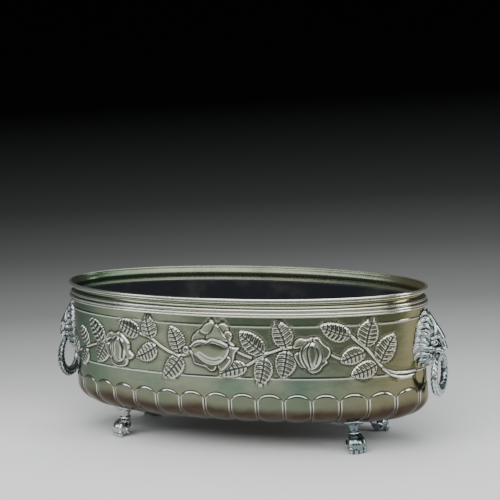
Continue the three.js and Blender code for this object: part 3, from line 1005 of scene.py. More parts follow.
class RoseGarland:
    """The frieze: an open rose, two side-view roses, and sprays of leaves on long stems.

    Its heights are counted from the frieze's lower line.
    """

    stems = (
        Stroke([(37, 14), (51, 22), (64, 29), (78, 34), (94, 37)]),
        Stroke([(58, 29), (68, 31), (79, 35)]),
        Stroke([(157, 49), (165, 41), (174, 33), (182, 23), (189, 13), (197, 6), (209, 2), (232, 1)]),
        Stroke([(192, 8), (204, -1), (218, -4), (230, -3)], 1.2, 1.0),
        Stroke([(-98, 45), (-81, 40), (-69, 32), (-54, 25), (-42, 23), (-32, 26)]),
        Stroke([(-226, 5), (-207, 11), (-186, 19), (-168, 25), (-150, 28)]),
        Stroke([(134, 28), (141, 24), (146, 22)], 1.1, 1.0),
        Stroke([(24, 33), (31, 29), (38, 26), (44, 24)], 1.2, 1.0),
    )
    leaves = (
        Leaf((59, 30), (32, 54), 10.5, 0.03, 0.5),
        Leaf((85, 37), (74, 66), 11.0, -0.05, 0.4),
        Leaf((38, 14), (4, 3), 8.5, -0.04, -0.4),
        Leaf((60, 24), (52, -8), 10.0, 0.03, 0.4),
        Leaf((86, 32), (79, 1), 11.0, 0.02, -0.4),
        Leaf((157, 48), (124, 61), 9.5, 0.04, 0.5, 7),
        Leaf((174, 36), (183, 66), 11.0, 0.04, 0.3),
        Leaf((189, 16), (207, 47), 10.5, 0.03, -0.4),
        Leaf((172, 29), (145, 19), 9.0, -0.03, -0.4),
        Leaf((185, 14), (156, 3), 9.0, 0.03, 0.3),
        Leaf((-98, 45), (-128, 57), 10.0, 0.04, 0.5),
        Leaf((-81, 41), (-86, 67), 10.0, 0.03, 0.4, 5),
        Leaf((-75, 31), (-104, 16), 9.5, 0.04, 0.4),
        Leaf((-44, 27), (-54, 57), 10.0, -0.05, 0.5),
        Leaf((-42, 22), (-67, -5), 10.5, 0.03, -0.4),
        Leaf((-156, 27), (-178, 55), 10.0, -0.04, 0.5),
        Leaf((-150, 27), (-167, 3), 10.0, -0.03, -0.4),
        Leaf((-186, 21), (-199, 43), 8.0, 0.04, 0.4, 5),
        Leaf((-190, 16), (-202, -5), 8.0, 0.03, 0.4, 5),
        Leaf((-214, 9), (-231, 29), 8.5, -0.03, 0.4, 5),
    )
    open_rose = (
        Petal([(-27, 38), (-26, 47), (-20, 53), (-13, 55), (-6, 51), (-7, 43),
               (-16, 39)], 2.0, 3.0, (0.03, 0.06)),
        Petal([(-15, 52), (-12, 59), (-6, 63), (1, 64), (4, 57), (-3, 50)], 1.8, 3.0, (0.0, 0.08)),
        Petal([(6, 55), (8, 62), (14, 63), (19, 59), (18, 51), (11, 48)], 1.8, 2.5, (0.0, 0.08)),
        Petal([(14, 52), (20, 54), (23, 48), (21, 42), (26, 38), (20, 34), (13, 39)], 2.2, 2.5, (0.08, 0.0)),
        Petal([(-32, 31), (-28, 23), (-25, 15), (-19, 13), (-11, 11), (-5, 7), (1, 9), (3, 16),
               (-5, 21), (-20, 25)], 2.0, 3.0, (0.0, -0.05), 0.9),
        Petal([(16, 38), (23, 36), (31, 35), (26, 29), (24, 22), (18, 13), (7, 5), (4, 10), (7, 18),
               (12, 27)], 2.6, 3.5, (0.05, 0.02), 0.8),
        Petal([(3, 17), (12, 26), (21, 23), (17, 15), (8, 8)], 3.4, 2.0, (0.06, -0.05), 0.2),
        Petal([(5, 62), (-1, 54), (-9, 45), (0, 42), (9, 42), (18, 43),
               (12, 52)], 3.2, 1.4, (0.0, 0.10), 0.0),
        Petal([(-29, 35), (-22, 40), (-14, 43), (-4, 44), (8, 42), (17, 38), (19, 32), (14, 23), (7, 17),
               (-3, 14), (-13, 17), (-21, 23), (-27, 30)], 5.2, 11.0, (0.0, 0.02), 0.3),
        Stroke([(-29, 35), (-23, 40), (-15, 42), (-8, 41), (-1, 44), (8, 42), (17, 38)], 1.3, 4.6),
        Stroke([(-17, 27), (-9, 22), (1, 20), (8, 22)], 0.9, -0.35),
        Petal(oval_points((-35.5, 30), (4.0, 4.5)), 2.4, 2.4, (0.0, 0.0), 0.4),
        Stroke([(-37, 30), (-35, 32), (-33.5, 30), (-35, 28)], 0.7, -0.6),
    )
    right_rose = (
        Petal([(94, 35), (95, 43), (101, 47), (108, 46), (115, 48), (121, 45), (118, 37),
               (106, 37)], 1.9, 2.5, (0.0, 0.06), 0.8),
        Petal([(116, 46), (122, 48), (126, 42), (132, 37), (135, 31), (131, 23), (124, 22),
               (120, 32)], 2.8, 3.0, (0.08, 0.0), 0.7),
        Petal([(97, 24), (99, 16), (106, 12), (113, 7), (121, 9), (126, 15), (131, 19), (124, 23),
               (112, 16)], 1.9, 2.5, (0.0, -0.06), 0.8),
        Petal([(94, 29), (96, 21), (102, 13), (108, 15), (107, 24), (100, 31)], 2.6, 2.5, (-0.05, 0.0), 0.6),
        Petal(oval_points((112, 27), (12.5, 16.0)), 5.0, 8.5, (0.0, 0.0), 0.1),
        Stroke([(110, 42), (104, 35), (103, 25), (108, 13)], 1.0, -1.0),
        Stroke([(113, 42), (109, 33), (110, 22), (112, 13)], 0.9, -0.9),
        Stroke([(118, 39), (121, 29), (118, 18)], 0.9, -0.6),
    )
    left_rose = (
        Petal([(-151, 29), (-149, 37), (-143, 43), (-136, 42), (-129, 44), (-123, 39), (-130, 35),
               (-142, 34)], 1.9, 2.5, (0.0, 0.06), 0.8),
        Petal([(-126, 43), (-118, 37), (-113, 31), (-113, 23), (-107, 17), (-114, 12), (-119, 17),
               (-121, 29)], 2.6, 3.0, (0.06, 0.0), 0.8),
        Petal([(-144, 15), (-143, 6), (-136, 2), (-127, 2), (-119, 5), (-117, 13), (-126, 12),
               (-136, 12)], 1.9, 2.5, (0.0, -0.06), 0.8),
        Petal([(-151, 29), (-150, 19), (-144, 11), (-139, 16), (-141, 27)], 2.4, 2.5, (-0.05, 0.0), 0.6),
        Petal(oval_points((-131.5, 23), (12.0, 15.5)), 5.0, 8.5, (0.0, 0.0), 0.1),
        Stroke([(-133, 37), (-140, 30), (-140, 20), (-135, 10)], 1.0, -1.0),
        Stroke([(-127, 35), (-123, 26), (-125, 13)], 1.0, -0.9),
        Stroke([(-131, 37), (-136, 29), (-136, 19)], 0.8, -0.6),
    )

    def press(self, relief: Relief) -> None:
        """Raises the whole garland, its stems first and its roses last."""
        for mark in (*self.stems, *self.leaves, *self.open_rose, *self.right_rose, *self.left_rose):
            mark.press(relief)


@dataclass
class Gadroons:
    """Upright lobes with round tops that run down the wall and under the body, in millimetres."""

    pitch: float
    top: float
    fade_from: float
    fade_to: float
    arch: float = 12.0
    swell: float = 1.9
    sink: float = 0.5
    shoulder: float = 3.2
    flank: float = 9.0

    def press(self, relief: Relief) -> None:
        """Raises the lobes over the lower part of the wall.

        Args:
            relief: The wall's relief.
        """
        low = (relief.along[0], relief.up[0])
        rows, columns, along, up = relief.window(low, (relief.along[-1], self.top), 2.0)
        off_middle = 1 - 2 * np.abs((along / self.pitch) % 1.0 - 0.5)
        arch_line = self.top - self.arch * (1 - np.sqrt(np.clip(1 - off_middle ** 2, 0, 1)))
        below_arch = arch_line - up
        to_groove = (1 - off_middle) * self.pitch / 2
        edge = np.minimum(below_arch, to_groove)
        turns_over = np.minimum(below_arch / self.shoulder, to_groove / self.flank)
        rise = np.sin(np.clip(turns_over, 0, 1) * math.pi / 2)
        crown = 1 - off_middle ** 2
        strength = smoothstep(self.fade_to, self.fade_from, up)
        inside = smoothstep(-0.3, 0.5, below_arch)
        groove = bell(edge, 0.1, 0.55)
        lobe = self.swell * (0.6 * rise + 0.4 * crown) - self.sink
        relief.height[rows, columns] += inside * strength * (lobe - 0.25 * groove)
        # The grooves darken for patina and painted shade; a painted highlight, with brightening from rubbing,
        # runs inside the arch and is strongest near its top.
        dark = np.where(below_arch > -1.2, groove * (0.45 + 0.55 * strength), 0)
        relief.recess[rows, columns] = np.maximum(relief.recess[rows, columns], dark)
        near_top = 0.15 + 0.85 * smoothstep(-17, -6, -below_arch)
        ridge = bell(edge, 1.6, 0.5) * inside * near_top
        relief.wear[rows, columns] = np.maximum(relief.wear[rows, columns], 0.85 * ridge)


@dataclass(frozen=True)
class RaisedLine:
    """A fine raised line that runs level round the body, in millimetres."""

    level: float
    half_width: float = 0.75
    height: float = 0.7

    def press(self, relief: Relief) -> None:
        """Raises the line.

        Args:
            relief: The wall's relief.
        """
        off = ((relief.up - self.level) / self.half_width)[:, None]
        # A painted highlight with brightening from rubbing on the crest, and a painted shadow on the ground
        # just below the line.
        ridge = bell(off, 0.0, 1.0)
        relief.height += self.height * ridge
        relief.wear = np.maximum(relief.wear, 0.85 * ridge)
        shade = 0.35 * bell(off, -2.2, 1.0)
        relief.recess = np.maximum(relief.recess * (1 - ridge), shade)


# ---- Body -----------------------------------------------------------------------------------------


class Side(Enum):
    """The planter's two long sides."""

    FRONT = "front"
    BACK = "back"


@dataclass
class BodyHalf:
    """One half of the repousse body: a fine outer skin, a plain inner skin, and the sheet between them."""

    oval: Oval
    garland: RoseGarland
    material: bpy.types.Material
    sheet: float = 1.2 * MM
    corner_reach: float = 42 * MM
    corner_rise: float = 24 * MM
    flange: float = 14 * MM
    seam: float = 0.15 * MM
    gadroons_half: int = 16
    gadroon_height: float = 41 * MM
    gadroon_fade_from: float = 16 * MM
    gadroon_fade_to: float = 3 * MM
    frieze_below_collar: float = 70 * MM
    frieze_height: float = 60 * MM
    full_relief: float = 1.9
    spare_relief: float = 2.0
    columns: int = 725
    inner_step: int = 4
    flange_rows: int = 3
    corner_rows: int = 15
    gadroon_rows: int = 24
    frieze_rows: int = 72
    plain_rows: int = 4

    def __post_init__(self) -> None:
        """Reads the half's height range from the model."""
        low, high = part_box("front_shell")
        self.bottom = low.z
        self.top = high.z
        self.corner_top = self.bottom + self.corner_rise
        self.frieze_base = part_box("rim_collar")[0].z - self.frieze_below_collar
        turns = np.linspace(0, math.pi / 2, 65)
        inset = self.corner_reach * (1 - np.cos(turns))
        drop = self.corner_rise * np.sin(turns)
        steps = np.hypot(np.diff(inset), np.diff(drop))
        self.arc_turns = turns
        self.arc_lengths = np.concatenate([[0.0], np.cumsum(steps)])

    def rows_up(self) -> np.ndarray:
        """Chooses the outer skin's rows, close together where the relief is fine.

        Returns:
            Their unrolled heights in metres.
        """
        corner_end = self.corner_top - self.arc_lengths[-1]
        arch_top = self.bottom + self.gadroon_height + 2 * MM
        frieze_low = self.frieze_base - 4 * MM
        frieze_high = self.frieze_base + self.frieze_height + 4 * MM
        bands = (
            (corner_end - self.flange, corner_end, self.flange_rows),
            (corner_end, self.corner_top, self.corner_rows),
            (self.corner_top, arch_top, self.gadroon_rows),
            (arch_top, frieze_low, self.plain_rows),
            (frieze_low, frieze_high, self.frieze_rows),
            (frieze_high, self.top, self.plain_rows),
        )
        rows = [np.linspace(low, high, count, endpoint=False) for low, high, count in bands]
        return np.concatenate([*rows, [self.top]])

    def section(self, up: np.ndarray) -> tuple[np.ndarray, np.ndarray, np.ndarray, np.ndarray]:
        """Follows the sheet's section from the wall's top round the corner to the flange.

        Args:
            up: Unrolled heights in metres.

        Returns:
            The inset from the wall, the height, and the outward and upward parts of the normal.
        """
        travelled = np.clip(self.corner_top - up, 0, self.arc_lengths[-1])
        turn = np.interp(travelled, self.arc_lengths, self.arc_turns)
        past = np.clip(self.corner_top - up - self.arc_lengths[-1], 0, None)
        inset = self.corner_reach * (1 - np.cos(turn)) + past
        height = np.maximum(up, self.corner_top) - self.corner_rise * np.sin(turn)
        out = np.cos(turn) / self.corner_reach
        down = np.sin(turn) / self.corner_rise
        length = np.hypot(out, down)
        return inset, height, out / length, -down / length

    def relief_at(self, along: np.ndarray, up: np.ndarray, with_garland: bool) -> Relief:
        """Works out the relief.

        Args:
            along: The columns' distances along the wall, in metres.
            up: The rows' unrolled heights, in metres.
            with_garland: Whether the frieze is raised too.

        Returns:
            The relief, with its heights softly held below full_relief + spare_relief.
        """
        relief = Relief(along / MM, (up - self.frieze_base) / MM)
        pitch = self.oval.half_round / MM / self.gadroons_half
        corner_end = self.corner_top - self.arc_lengths[-1]
        marks = (
            self.bottom + self.gadroon_height,
            corner_end + self.gadroon_fade_from,
            corner_end + self.gadroon_fade_to,
        )
        Gadroons(pitch, *((mark - self.frieze_base) / MM for mark in marks)).press(relief)
        if with_garland:
            RaisedLine(0.0).press(relief)
            RaisedLine(self.frieze_height / MM).press(relief)
            self.garland.press(relief)
        proud = np.clip(relief.height - self.full_relief, 0, None)
        relief.height += self.spare_relief * np.tanh(proud / self.spare_relief) - proud
        return relief

    def place_skin(
        self,
        verts: Sequence[bmesh.types.BMVert],
        along: np.ndarray,
        up: np.ndarray,
        height_mm: np.ndarray,
        depth: float,
    ) -> None:
        """Moves a grid's vertices onto the body.

        Args:
            verts: The grid's vertices, row by row.
            along: The columns.
            up: The rows.
            height_mm: The relief at each row and column.
            depth: How far the skin lies inside the outer one.
        """
        inset, level, out, rise = (part[:, None] for part in self.section(up))
        nx, ny = (part[None, :] for part in self.oval.outward(along))
        turn = self.oval.turn(along)[None, :]
        lift = height_mm * MM - depth
        x = (self.oval.half_length - inset) * np.cos(turn) + lift * out * nx
        y = (self.oval.half_width - inset) * np.sin(turn) + lift * out * ny
        y = np.minimum(y, -self.seam)
        z = level + lift * rise
        places = np.stack([x, y, np.broadcast_to(z, x.shape)], axis=-1).reshape(-1, 3)
        for vert, place in zip(verts, places):
            vert.co = place

    @staticmethod
    def add_grid(bm: bmesh.types.BMesh, columns: int, rows: int) -> list[bmesh.types.BMVert]:
        """Adds a flat grid.

        Args:
            bm: Where it is added.
            columns: How many vertices it has in a row.
            rows: How many rows it has.

        Returns:
            Its vertices, row by row.
        """
        made = bmesh.ops.create_grid(bm, x_segments=columns - 1, y_segments=rows - 1, size=1.0)
        return sorted(made["verts"], key=lambda v: (round(v.co.y, 6), v.co.x))

    def build(self, side: Side) -> bpy.types.Object:
        """Builds the half.

        Args:
            side: The side of the planter that it forms.

        Returns:
            The half.
        """
        quarter = self.oval.half_round / 2
        along = np.linspace(-quarter, quarter, self.columns)
        up = self.rows_up()
        outer = self.relief_at(along, up, with_garland=True)
        bm = bmesh.new()
        outer_verts = self.add_grid(bm, self.columns, len(up))
        inner_along = along[:: self.inner_step]
        lower = self.flange_rows + self.corner_rows + self.gadroon_rows
        inner_up = np.concatenate([up[:lower:3], up[lower : -self.plain_rows : 10], [self.top]])
        inner = self.relief_at(inner_along, inner_up, with_garland=False)
        inner_verts = self.add_grid(bm, len(inner_along), len(inner_up))
        self.place_skin(outer_verts, along, up, outer.height, 0.0)
        self.place_skin(inner_verts, inner_along, inner_up, inner.height, self.sheet)
        edges = [edge for edge in bm.edges if edge.is_boundary]
        bmesh.ops.bridge_loops(bm, edges=edges)
        bmesh.ops.recalc_face_normals(bm, faces=bm.faces)
        if side is Side.BACK:
            bmesh.ops.rotate(bm, verts=bm.verts, cent=(0, 0, 0), matrix=Matrix.Rotation(math.pi, 3, "Z"))
        inner_numbers = {"recess": 0.28, "wear": 0.0, "matting": 0.3}
        numbers = {
            name: np.concatenate([getattr(outer, name).ravel(), np.full(len(inner_verts), value)])
            for name, value in inner_numbers.items()
        }
        piece = Piece(f"{side.value}_body", "planter", "sheet_brass", [f"{side.value}_shell"], self.material)
        return piece.add(bm, numbers)


@dataclass
class Collar:
    """The collar: three beads, a cove, a fillet and an edge rolled over a wire, in millimetres."""

    oval: Oval
    material: bpy.types.Material
    wire_radius: float = 0.9
    roll_sheet: float = 0.6
    gap: float = 0.3
    grooves: Sequence[float] = (2.9, 10.0, 18.6)
    groove_width: float = 0.4
    crowns: Sequence[float] = (1.9, 4.8, 8.9, 17.4, 21.0)
    crown_width: float = 0.9

    def outline(self) -> list[Point2]:
        """Draws the section, in millimetres out from the wall's face and up from the collar's foot.

        Returns:
            The outline's (half width, height) points in metres.
        """
        low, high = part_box("rim_collar")
        wall = self.oval.half_width
        overhang = (high.y - wall) / MM
        top = (high.z - low.z) / MM
        roll = self.wire_radius + self.gap + self.roll_sheet
        centre = (overhang - roll - 0.02, top - roll - 0.02)
        bottom_bead = arc((1.9, 1.4), 1.4, -110, 80, 7)
        wide_bead = arc((2.65, 4.3), 1.4, -85, 85, 8)
        slope = [(2.2, 5.9), (1.75, 6.4)]
        main_bead = arc((1.0, 8.1), 1.65, -62, 80, 8)
        cove = [(0.55, 10.1), (-0.45, 11.2), (-1.2, 12.6), (-1.4, 13.9), (-1.15, 15.0), (-0.4, 15.9)]
        cove.append((0.5, 16.3))
        fillet = arc((1.45, 17.25), 0.75, -80, 80, 6)
        groove = [(1.0, 18.5)]
        inner_roll = arc(centre, roll - self.roll_sheet, 200, 218, 1)
        outer_roll = arc(centre, roll, -65, 190, 18)
        inside = [(-0.6, top - 3.4), (-1.9, 16.0), (-2.6, 14.4), (-2.6, 13.0), (-1.2, 8.9), (0.6, 8.9)]
        inside.append((0.6, 0.2))
        section = [*bottom_bead, *wide_bead, *slope, *main_bead, *cove, *fillet, *groove]
        section += [*inner_roll, *outer_roll, *inside]
        return [(wall + x * MM, low.z + z * MM) for x, z in section]

    def build(self) -> bpy.types.Object:
        """Builds the collar.

        Returns:
            The collar.
        """
        bm = self.oval.spin(self.outline())
        bm.normal_update()
        a, b = self.oval.half_length, self.oval.half_width
        x, y, level = np.array([v.co for v in bm.verts]).T
        normals = np.array([v.normal for v in bm.verts])
        outward = (normals[:, 0] * x / a + normals[:, 1] * y / b) / np.hypot(x / a, y / b)
        inside = smoothstep(0.25, 0.7, -outward)
        level = (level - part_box("rim_collar")[0].z) / MM
        grooves = [bell(level, groove, self.groove_width) for groove in self.grooves]
        crowns = [bell(level, crown, self.crown_width) for crown in self.crowns]
        # The grooves between the beads darken for patina and painted shade, and the crowns take a painted
        # highlight with brightening from rubbing.
        dark = np.max(grooves, axis=0) * smoothstep(0.1, 0.5, outward)
        numbers = {
            "recess": np.maximum(dark, 0.22 * inside),
            "wear": np.max(crowns, axis=0) * (1 - inside),
            "matting": 0.3 * inside,
        }
        piece = Piece("collar", "planter", "sheet_brass", ["rim_collar"], self.material)
        return piece.add(bm, numbers)


# ---- Castings -------------------------------------------------------------------------------------


class End(Enum):
    """The planter's two short ends, with each one's turn round Z."""

    RIGHT = 0.0
    LEFT = 180.0

    @property
    def label(self) -> str:
        """The end's name in lower case."""
        return self.name.lower()


@dataclass
class LionMask:
    """A cast lion's head with a flowing mane, open at the mouth for its ring. Sizes in millimetres."""

    oval: Oval
    material: bpy.types.Material
    wall_gap: float = 0.4
    voxel: float = 0.42
    crown_cover: float = 1.2
    bore: float = 2.9
    bore_sunk: float = 5.0
    bore_gap: float = 0.3
    bolt_below_crown: float = 25.0
    throat: float = 3.1
    half_throat: float = 3.0
    flare: float = 7.2
    half_mouth: float = 14.0
    ring_slack: float = 0.6
    model: bmesh.types.BMesh | None = None
    locks: Sequence[tuple[float, Sequence[Point3]]] = (
        (2.7, ((8, 0.5, 8), (6.5, 2.5, 3), (4, 6, 1), (1.5, 8, 4))),
        (3.0, ((11, 3, 14), (8.5, 6, 8.5), (5, 10, 7.5), (1.5, 12.5, 11.5))),
        (3.2, ((12, 6, 21), (8.5, 9.5, 15), (4.5, 14, 14.5), (1.2, 16.5, 18.5))),
        (3.2, ((10.5, 10, 27), (8, 13, 22.5), (4.5, 17, 21.5), (1.2, 18.8, 25.5))),
        (3.1, ((9.5, 12, 33), (7.5, 15, 30), (4.2, 18.8, 29), (1.0, 20.5, 33))),
        (3.2, ((9.5, 12, 39), (7.5, 15.5, 37.5), (4.2, 19.5, 36.5), (1.0, 22, 40.5))),
        (3.1, ((9, 10, 46), (7, 14.5, 45.5), (4, 18.5, 44.5), (1.0, 21, 48.5))),
        (2.9, ((9, 7.5, 51), (6.5, 11.5, 53), (3.8, 15, 52.5), (1.5, 16.5, 56))),
        (2.6, ((10.5, 3, 55), (7.5, 6, 58), (4, 9, 58), (2, 10, 59))),
    )

    def at(self, out: float, across: float, below: float) -> Point3:
        """Gives a place from how far it stands out from the wall, across it and below the crown."""
        return (self.oval.end_reach(across * MM) / MM + out, across, self.crown - below)

    def __post_init__(self) -> None:
        """Reads the crown's height and the mouth's place from the model."""
        self.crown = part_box("lion_mask_right")[1].z / MM - self.crown_cover
        low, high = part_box("ring_handle_right")
        self.mouth = ((low.x + high.x) / 2 / MM, 0.0, high.z / MM - self.throat + self.ring_slack)
        self.stud_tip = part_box("mask_stud_right")[1].x / MM

    def face(self) -> list[Lump | Strand]:
        """Models the face: skull, brow, eyes, nose, muzzle and jaw.

        Returns:
            Its lumps and strands.
        """
        at = self.at
        clay: list[Lump | Strand] = [
            Lump(at(-3, 0, 29), (9.5, 19, 28.5)),
            Lump(at(3, 0, 27), (11, 13, 19)),
            Strand([at(4.5, 0, 3), at(10, 0, 12), at(16, 0, 22), at(20, 0, 30)], 3.6, 4.6),
            Strand([at(18, 0, 29), at(21.5, 0, 36), at(23.2, 0, 40)], 3.7, 3.2),
            Lump(at(23.4, 0, 41.2), (3.4, 4.4, 2.7)),
            Lump(at(13, 0, 50), (8, 6, 6.5)),
            Lump(at(12, 0, 54), (8.5, 5.5, 4.0)),
        ]
        for side in (-1, 1):
            clay += [
                Strand([at(20, side * 1.5, 29.5), at(17.5, side * 5.5, 27.6),
                        at(13, side * 9.5, 29)], 2.5, 1.7),
                Lump(at(12.6, side * 7.2, 33.6), (3.4, 3.3, 2.7)),
                Strand([at(16.8, side * 3.8, 34), at(15.6, side * 7, 31.2),
                        at(12, side * 9.8, 33.6)], 0.9, 0.8),
                Strand([at(16.4, side * 4, 34.6), at(15.2, side * 7, 36.6),
                        at(12, side * 9.8, 34.4)], 0.9, 0.7),
                Lump(at(18.4, side * 4.6, 43), (6.4, 4.6, 4.3), 14),
                Lump(at(11, side * 8.6, 41), (5.2, 4.8, 4.6)),
                Strand([at(22, side * 2.6, 44.5), at(18, side * 7.5, 46.3),
                        at(12, side * 9.5, 48.5)], 1.5, 1.9),
                Strand([at(10, side * 11, 25), at(11.5, side * 12.5, 21), at(8.5, side * 14, 18.5),
                        at(6.8, side * 12, 20.5)], 1.8, 1.3),
                Lump(at(24.6, side * 1.9, 41.6), (1.5, 1.3, 1.1)),
                Strand([at(13, side * 2, 14), at(15, side * 4.5, 20), at(15, side * 6.5, 25)], 1.7, 1.5),
            ]
        return clay

    def mane(self) -> list[Strand]:
        """Models the mane: each lock is three strands that lie side by side.

        Returns:
            Its strands.
        """
        strands = []
        for side in (-1, 1):
            for radius, points in self.locks:
                for shift, thickness in ((-0.75, 0.5), (0.1, 0.8), (1.0, 0.45)):
                    path = [
                        self.at(out - 1.6 + thickness, side * across, below + shift * radius)
                        for out, across, below in points
                    ]
                    strands.append(Strand(path, radius * thickness, radius * thickness * 0.6))
        return strands

    def mouth_cutter(self) -> bmesh.types.BMesh:
        """Makes the mouth's hollow, narrow in the middle and open to both sides.

        Returns:
            The hollow as a closed shape.
        """
        edges = [(self.throat, self.half_throat), (self.flare, self.half_mouth), (0, self.half_mouth)]
        mirrored = [(radius, -level) for radius, level in reversed(edges)]
        cutter = turned([*mirrored, *edges], 32)
        place = Matrix.Translation(self.mouth) @ Matrix.Rotation(math.pi / 2, 4, "X")
        bmesh.ops.transform(cutter, matrix=place, verts=cutter.verts)
        return cutter

    def bore_cutter(self) -> bmesh.types.BMesh:
        """Makes the hole that the mask's stud sits in.

        Returns:
            The hole as a closed shape.
        """
        start = self.oval.half_length / MM - self.bore_sunk
        length = self.stud_tip + self.bore_gap - start
        cutter = turned([(0, 0), (self.bore, 0), (self.bore, length), (0, length)], 32)
        bolt_z = self.crown - self.bolt_below_crown
        place = Matrix.Translation((start, 0, bolt_z)) @ Matrix.Rotation(math.pi / 2, 4, "Y")
        bmesh.ops.transform(cutter, matrix=place, verts=cutter.verts)
        return cutter

    def shape(self) -> bmesh.types.BMesh:
        """Models the right mask.

        Returns:
            The mask in metres.
        """
        clay = Clay()
        for shape in (*self.face(), *self.mane()):
            shape.add(clay)
        bm = clay.joined(self.voxel)
        wall = self.oval.block(self.wall_gap * MM, 0.0, 0.3)
        bmesh.ops.scale(wall, vec=(1 / MM, 1 / MM, 1 / MM), verts=wall.verts)
        for cutter in (wall, self.mouth_cutter(), self.bore_cutter()):
            bm = carved(bm, cutter)
        bmesh.ops.scale(bm, vec=(MM, MM, MM), verts=bm.verts)
        return bm

    def build(self, end: End) -> bpy.types.Object:
        """Builds a mask.

        Args:
            end: The end of the planter that it hangs on.

        Returns:
            The mask.
        """
        if self.model is None:
            self.model = self.shape()
        bm = self.model.copy()
        turn = Matrix.Rotation(math.radians(end.value), 3, "Z")
        bmesh.ops.rotate(bm, verts=bm.verts, cent=(0, 0, 0), matrix=turn)
        piece = Piece(f"mask_{end.label}", "planter", "cast_brass", [f"lion_mask_{end.label}"], self.material)
        return piece.add(bm, cavity_mm=0.27, spread=9)


@dataclass
class RingHandle:
    """A cast ring that thickens towards its bottom, with a pattern of scales. Sizes in millimetres."""

    material: bpy.types.Material
    top_thickness: float = 5.0
    bottom_thickness: float = 11.5
    bottom_depth: float = 8.0
    steps: int = 320
    section: int = 44
    scales: int = 13
    ground: float = 0.1

    def relief(self, lowness: np.ndarray, facing: np.ndarray) -> np.ndarray:
        """Works out the cast pattern's height.

        Args:
            lowness: How far down the ring each vertex is, from 0 at the top to 1 at the bottom.
            facing: The angle round the section, 0 on the ring's outside.

        Returns:
            The height of the pattern.
        """
        down = np.arccos(np.clip(1 - 2 * lowness, -1, 1)) / math.pi
        bands = down * self.scales
        chevron = (bands - 0.45 * np.abs(np.sin(facing * 1.5))) % 1.0
        scale = np.where(chevron < 0.8, chevron / 0.8, (1 - chevron) / 0.2)
        ribs = 0.25 * np.cos(facing * 7)
        beads = bell(np.abs(facing), 0.4 * math.pi, 0.22) * np.abs(np.sin(bands * math.pi * 2))
        body = 0.62 * scale + ribs + 0.5 * beads
        return body * smoothstep(0.12, 0.3, down) * smoothstep(math.pi, 0.62 * math.pi, np.abs(facing))

    def build(self, end: End) -> bpy.types.Object:
        """Builds a ring, which hangs in its mask's mouth.

        Args:
            end: The end of the planter that it hangs on.

        Returns:
            The ring.
        """
        low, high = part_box(f"ring_handle_{end.label}")
        path = (high.z - low.z) / MM / 2 - (self.top_thickness + self.bottom_thickness) / 4
        top = high.z / MM - self.top_thickness / 2
        bm = bmesh.new()
        bmesh.ops.create_circle(bm, segments=self.section, radius=1.0)
        bmesh.ops.rotate(bm, verts=bm.verts, cent=(0, 0, 0), matrix=Matrix.Rotation(math.pi / 2, 3, "X"))
        bmesh.ops.translate(bm, verts=bm.verts, vec=(path, 0, 0))
        revolve(bm, self.steps)
        places = np.array([vert.co for vert in bm.verts])
        angle = np.arctan2(places[:, 1], places[:, 0])
        outward = np.hypot(places[:, 0], places[:, 1]) - path
        depth = places[:, 2]
        lowness = (1 - np.sin(angle)) / 2
        pattern = self.relief(lowness, np.arctan2(depth, outward))
        thickening = (self.bottom_thickness - self.top_thickness) * lowness
        deepening = (self.bottom_depth - self.top_thickness) * np.sqrt(lowness)
        radius = path + outward * ((self.top_thickness + thickening) / 2 - self.ground + pattern)
        x = depth * ((self.top_thickness + deepening) / 2 - self.ground + pattern)
        middle = (low.x + high.x) / 2
        for vert, dx, r, t in zip(bm.verts, x, radius, angle):
            vert.co = (middle + dx * MM, r * math.cos(t) * MM, (top - path + r * math.sin(t)) * MM)
        bmesh.ops.recalc_face_normals(bm, faces=bm.faces)
        body = f"ring_{end.label}"
        piece = Piece(f"{body}_casting", body, "cast_brass", [f"ring_handle_{end.label}"], self.material)
        return piece.add(bm, cavity_mm=0.22, spread=4)


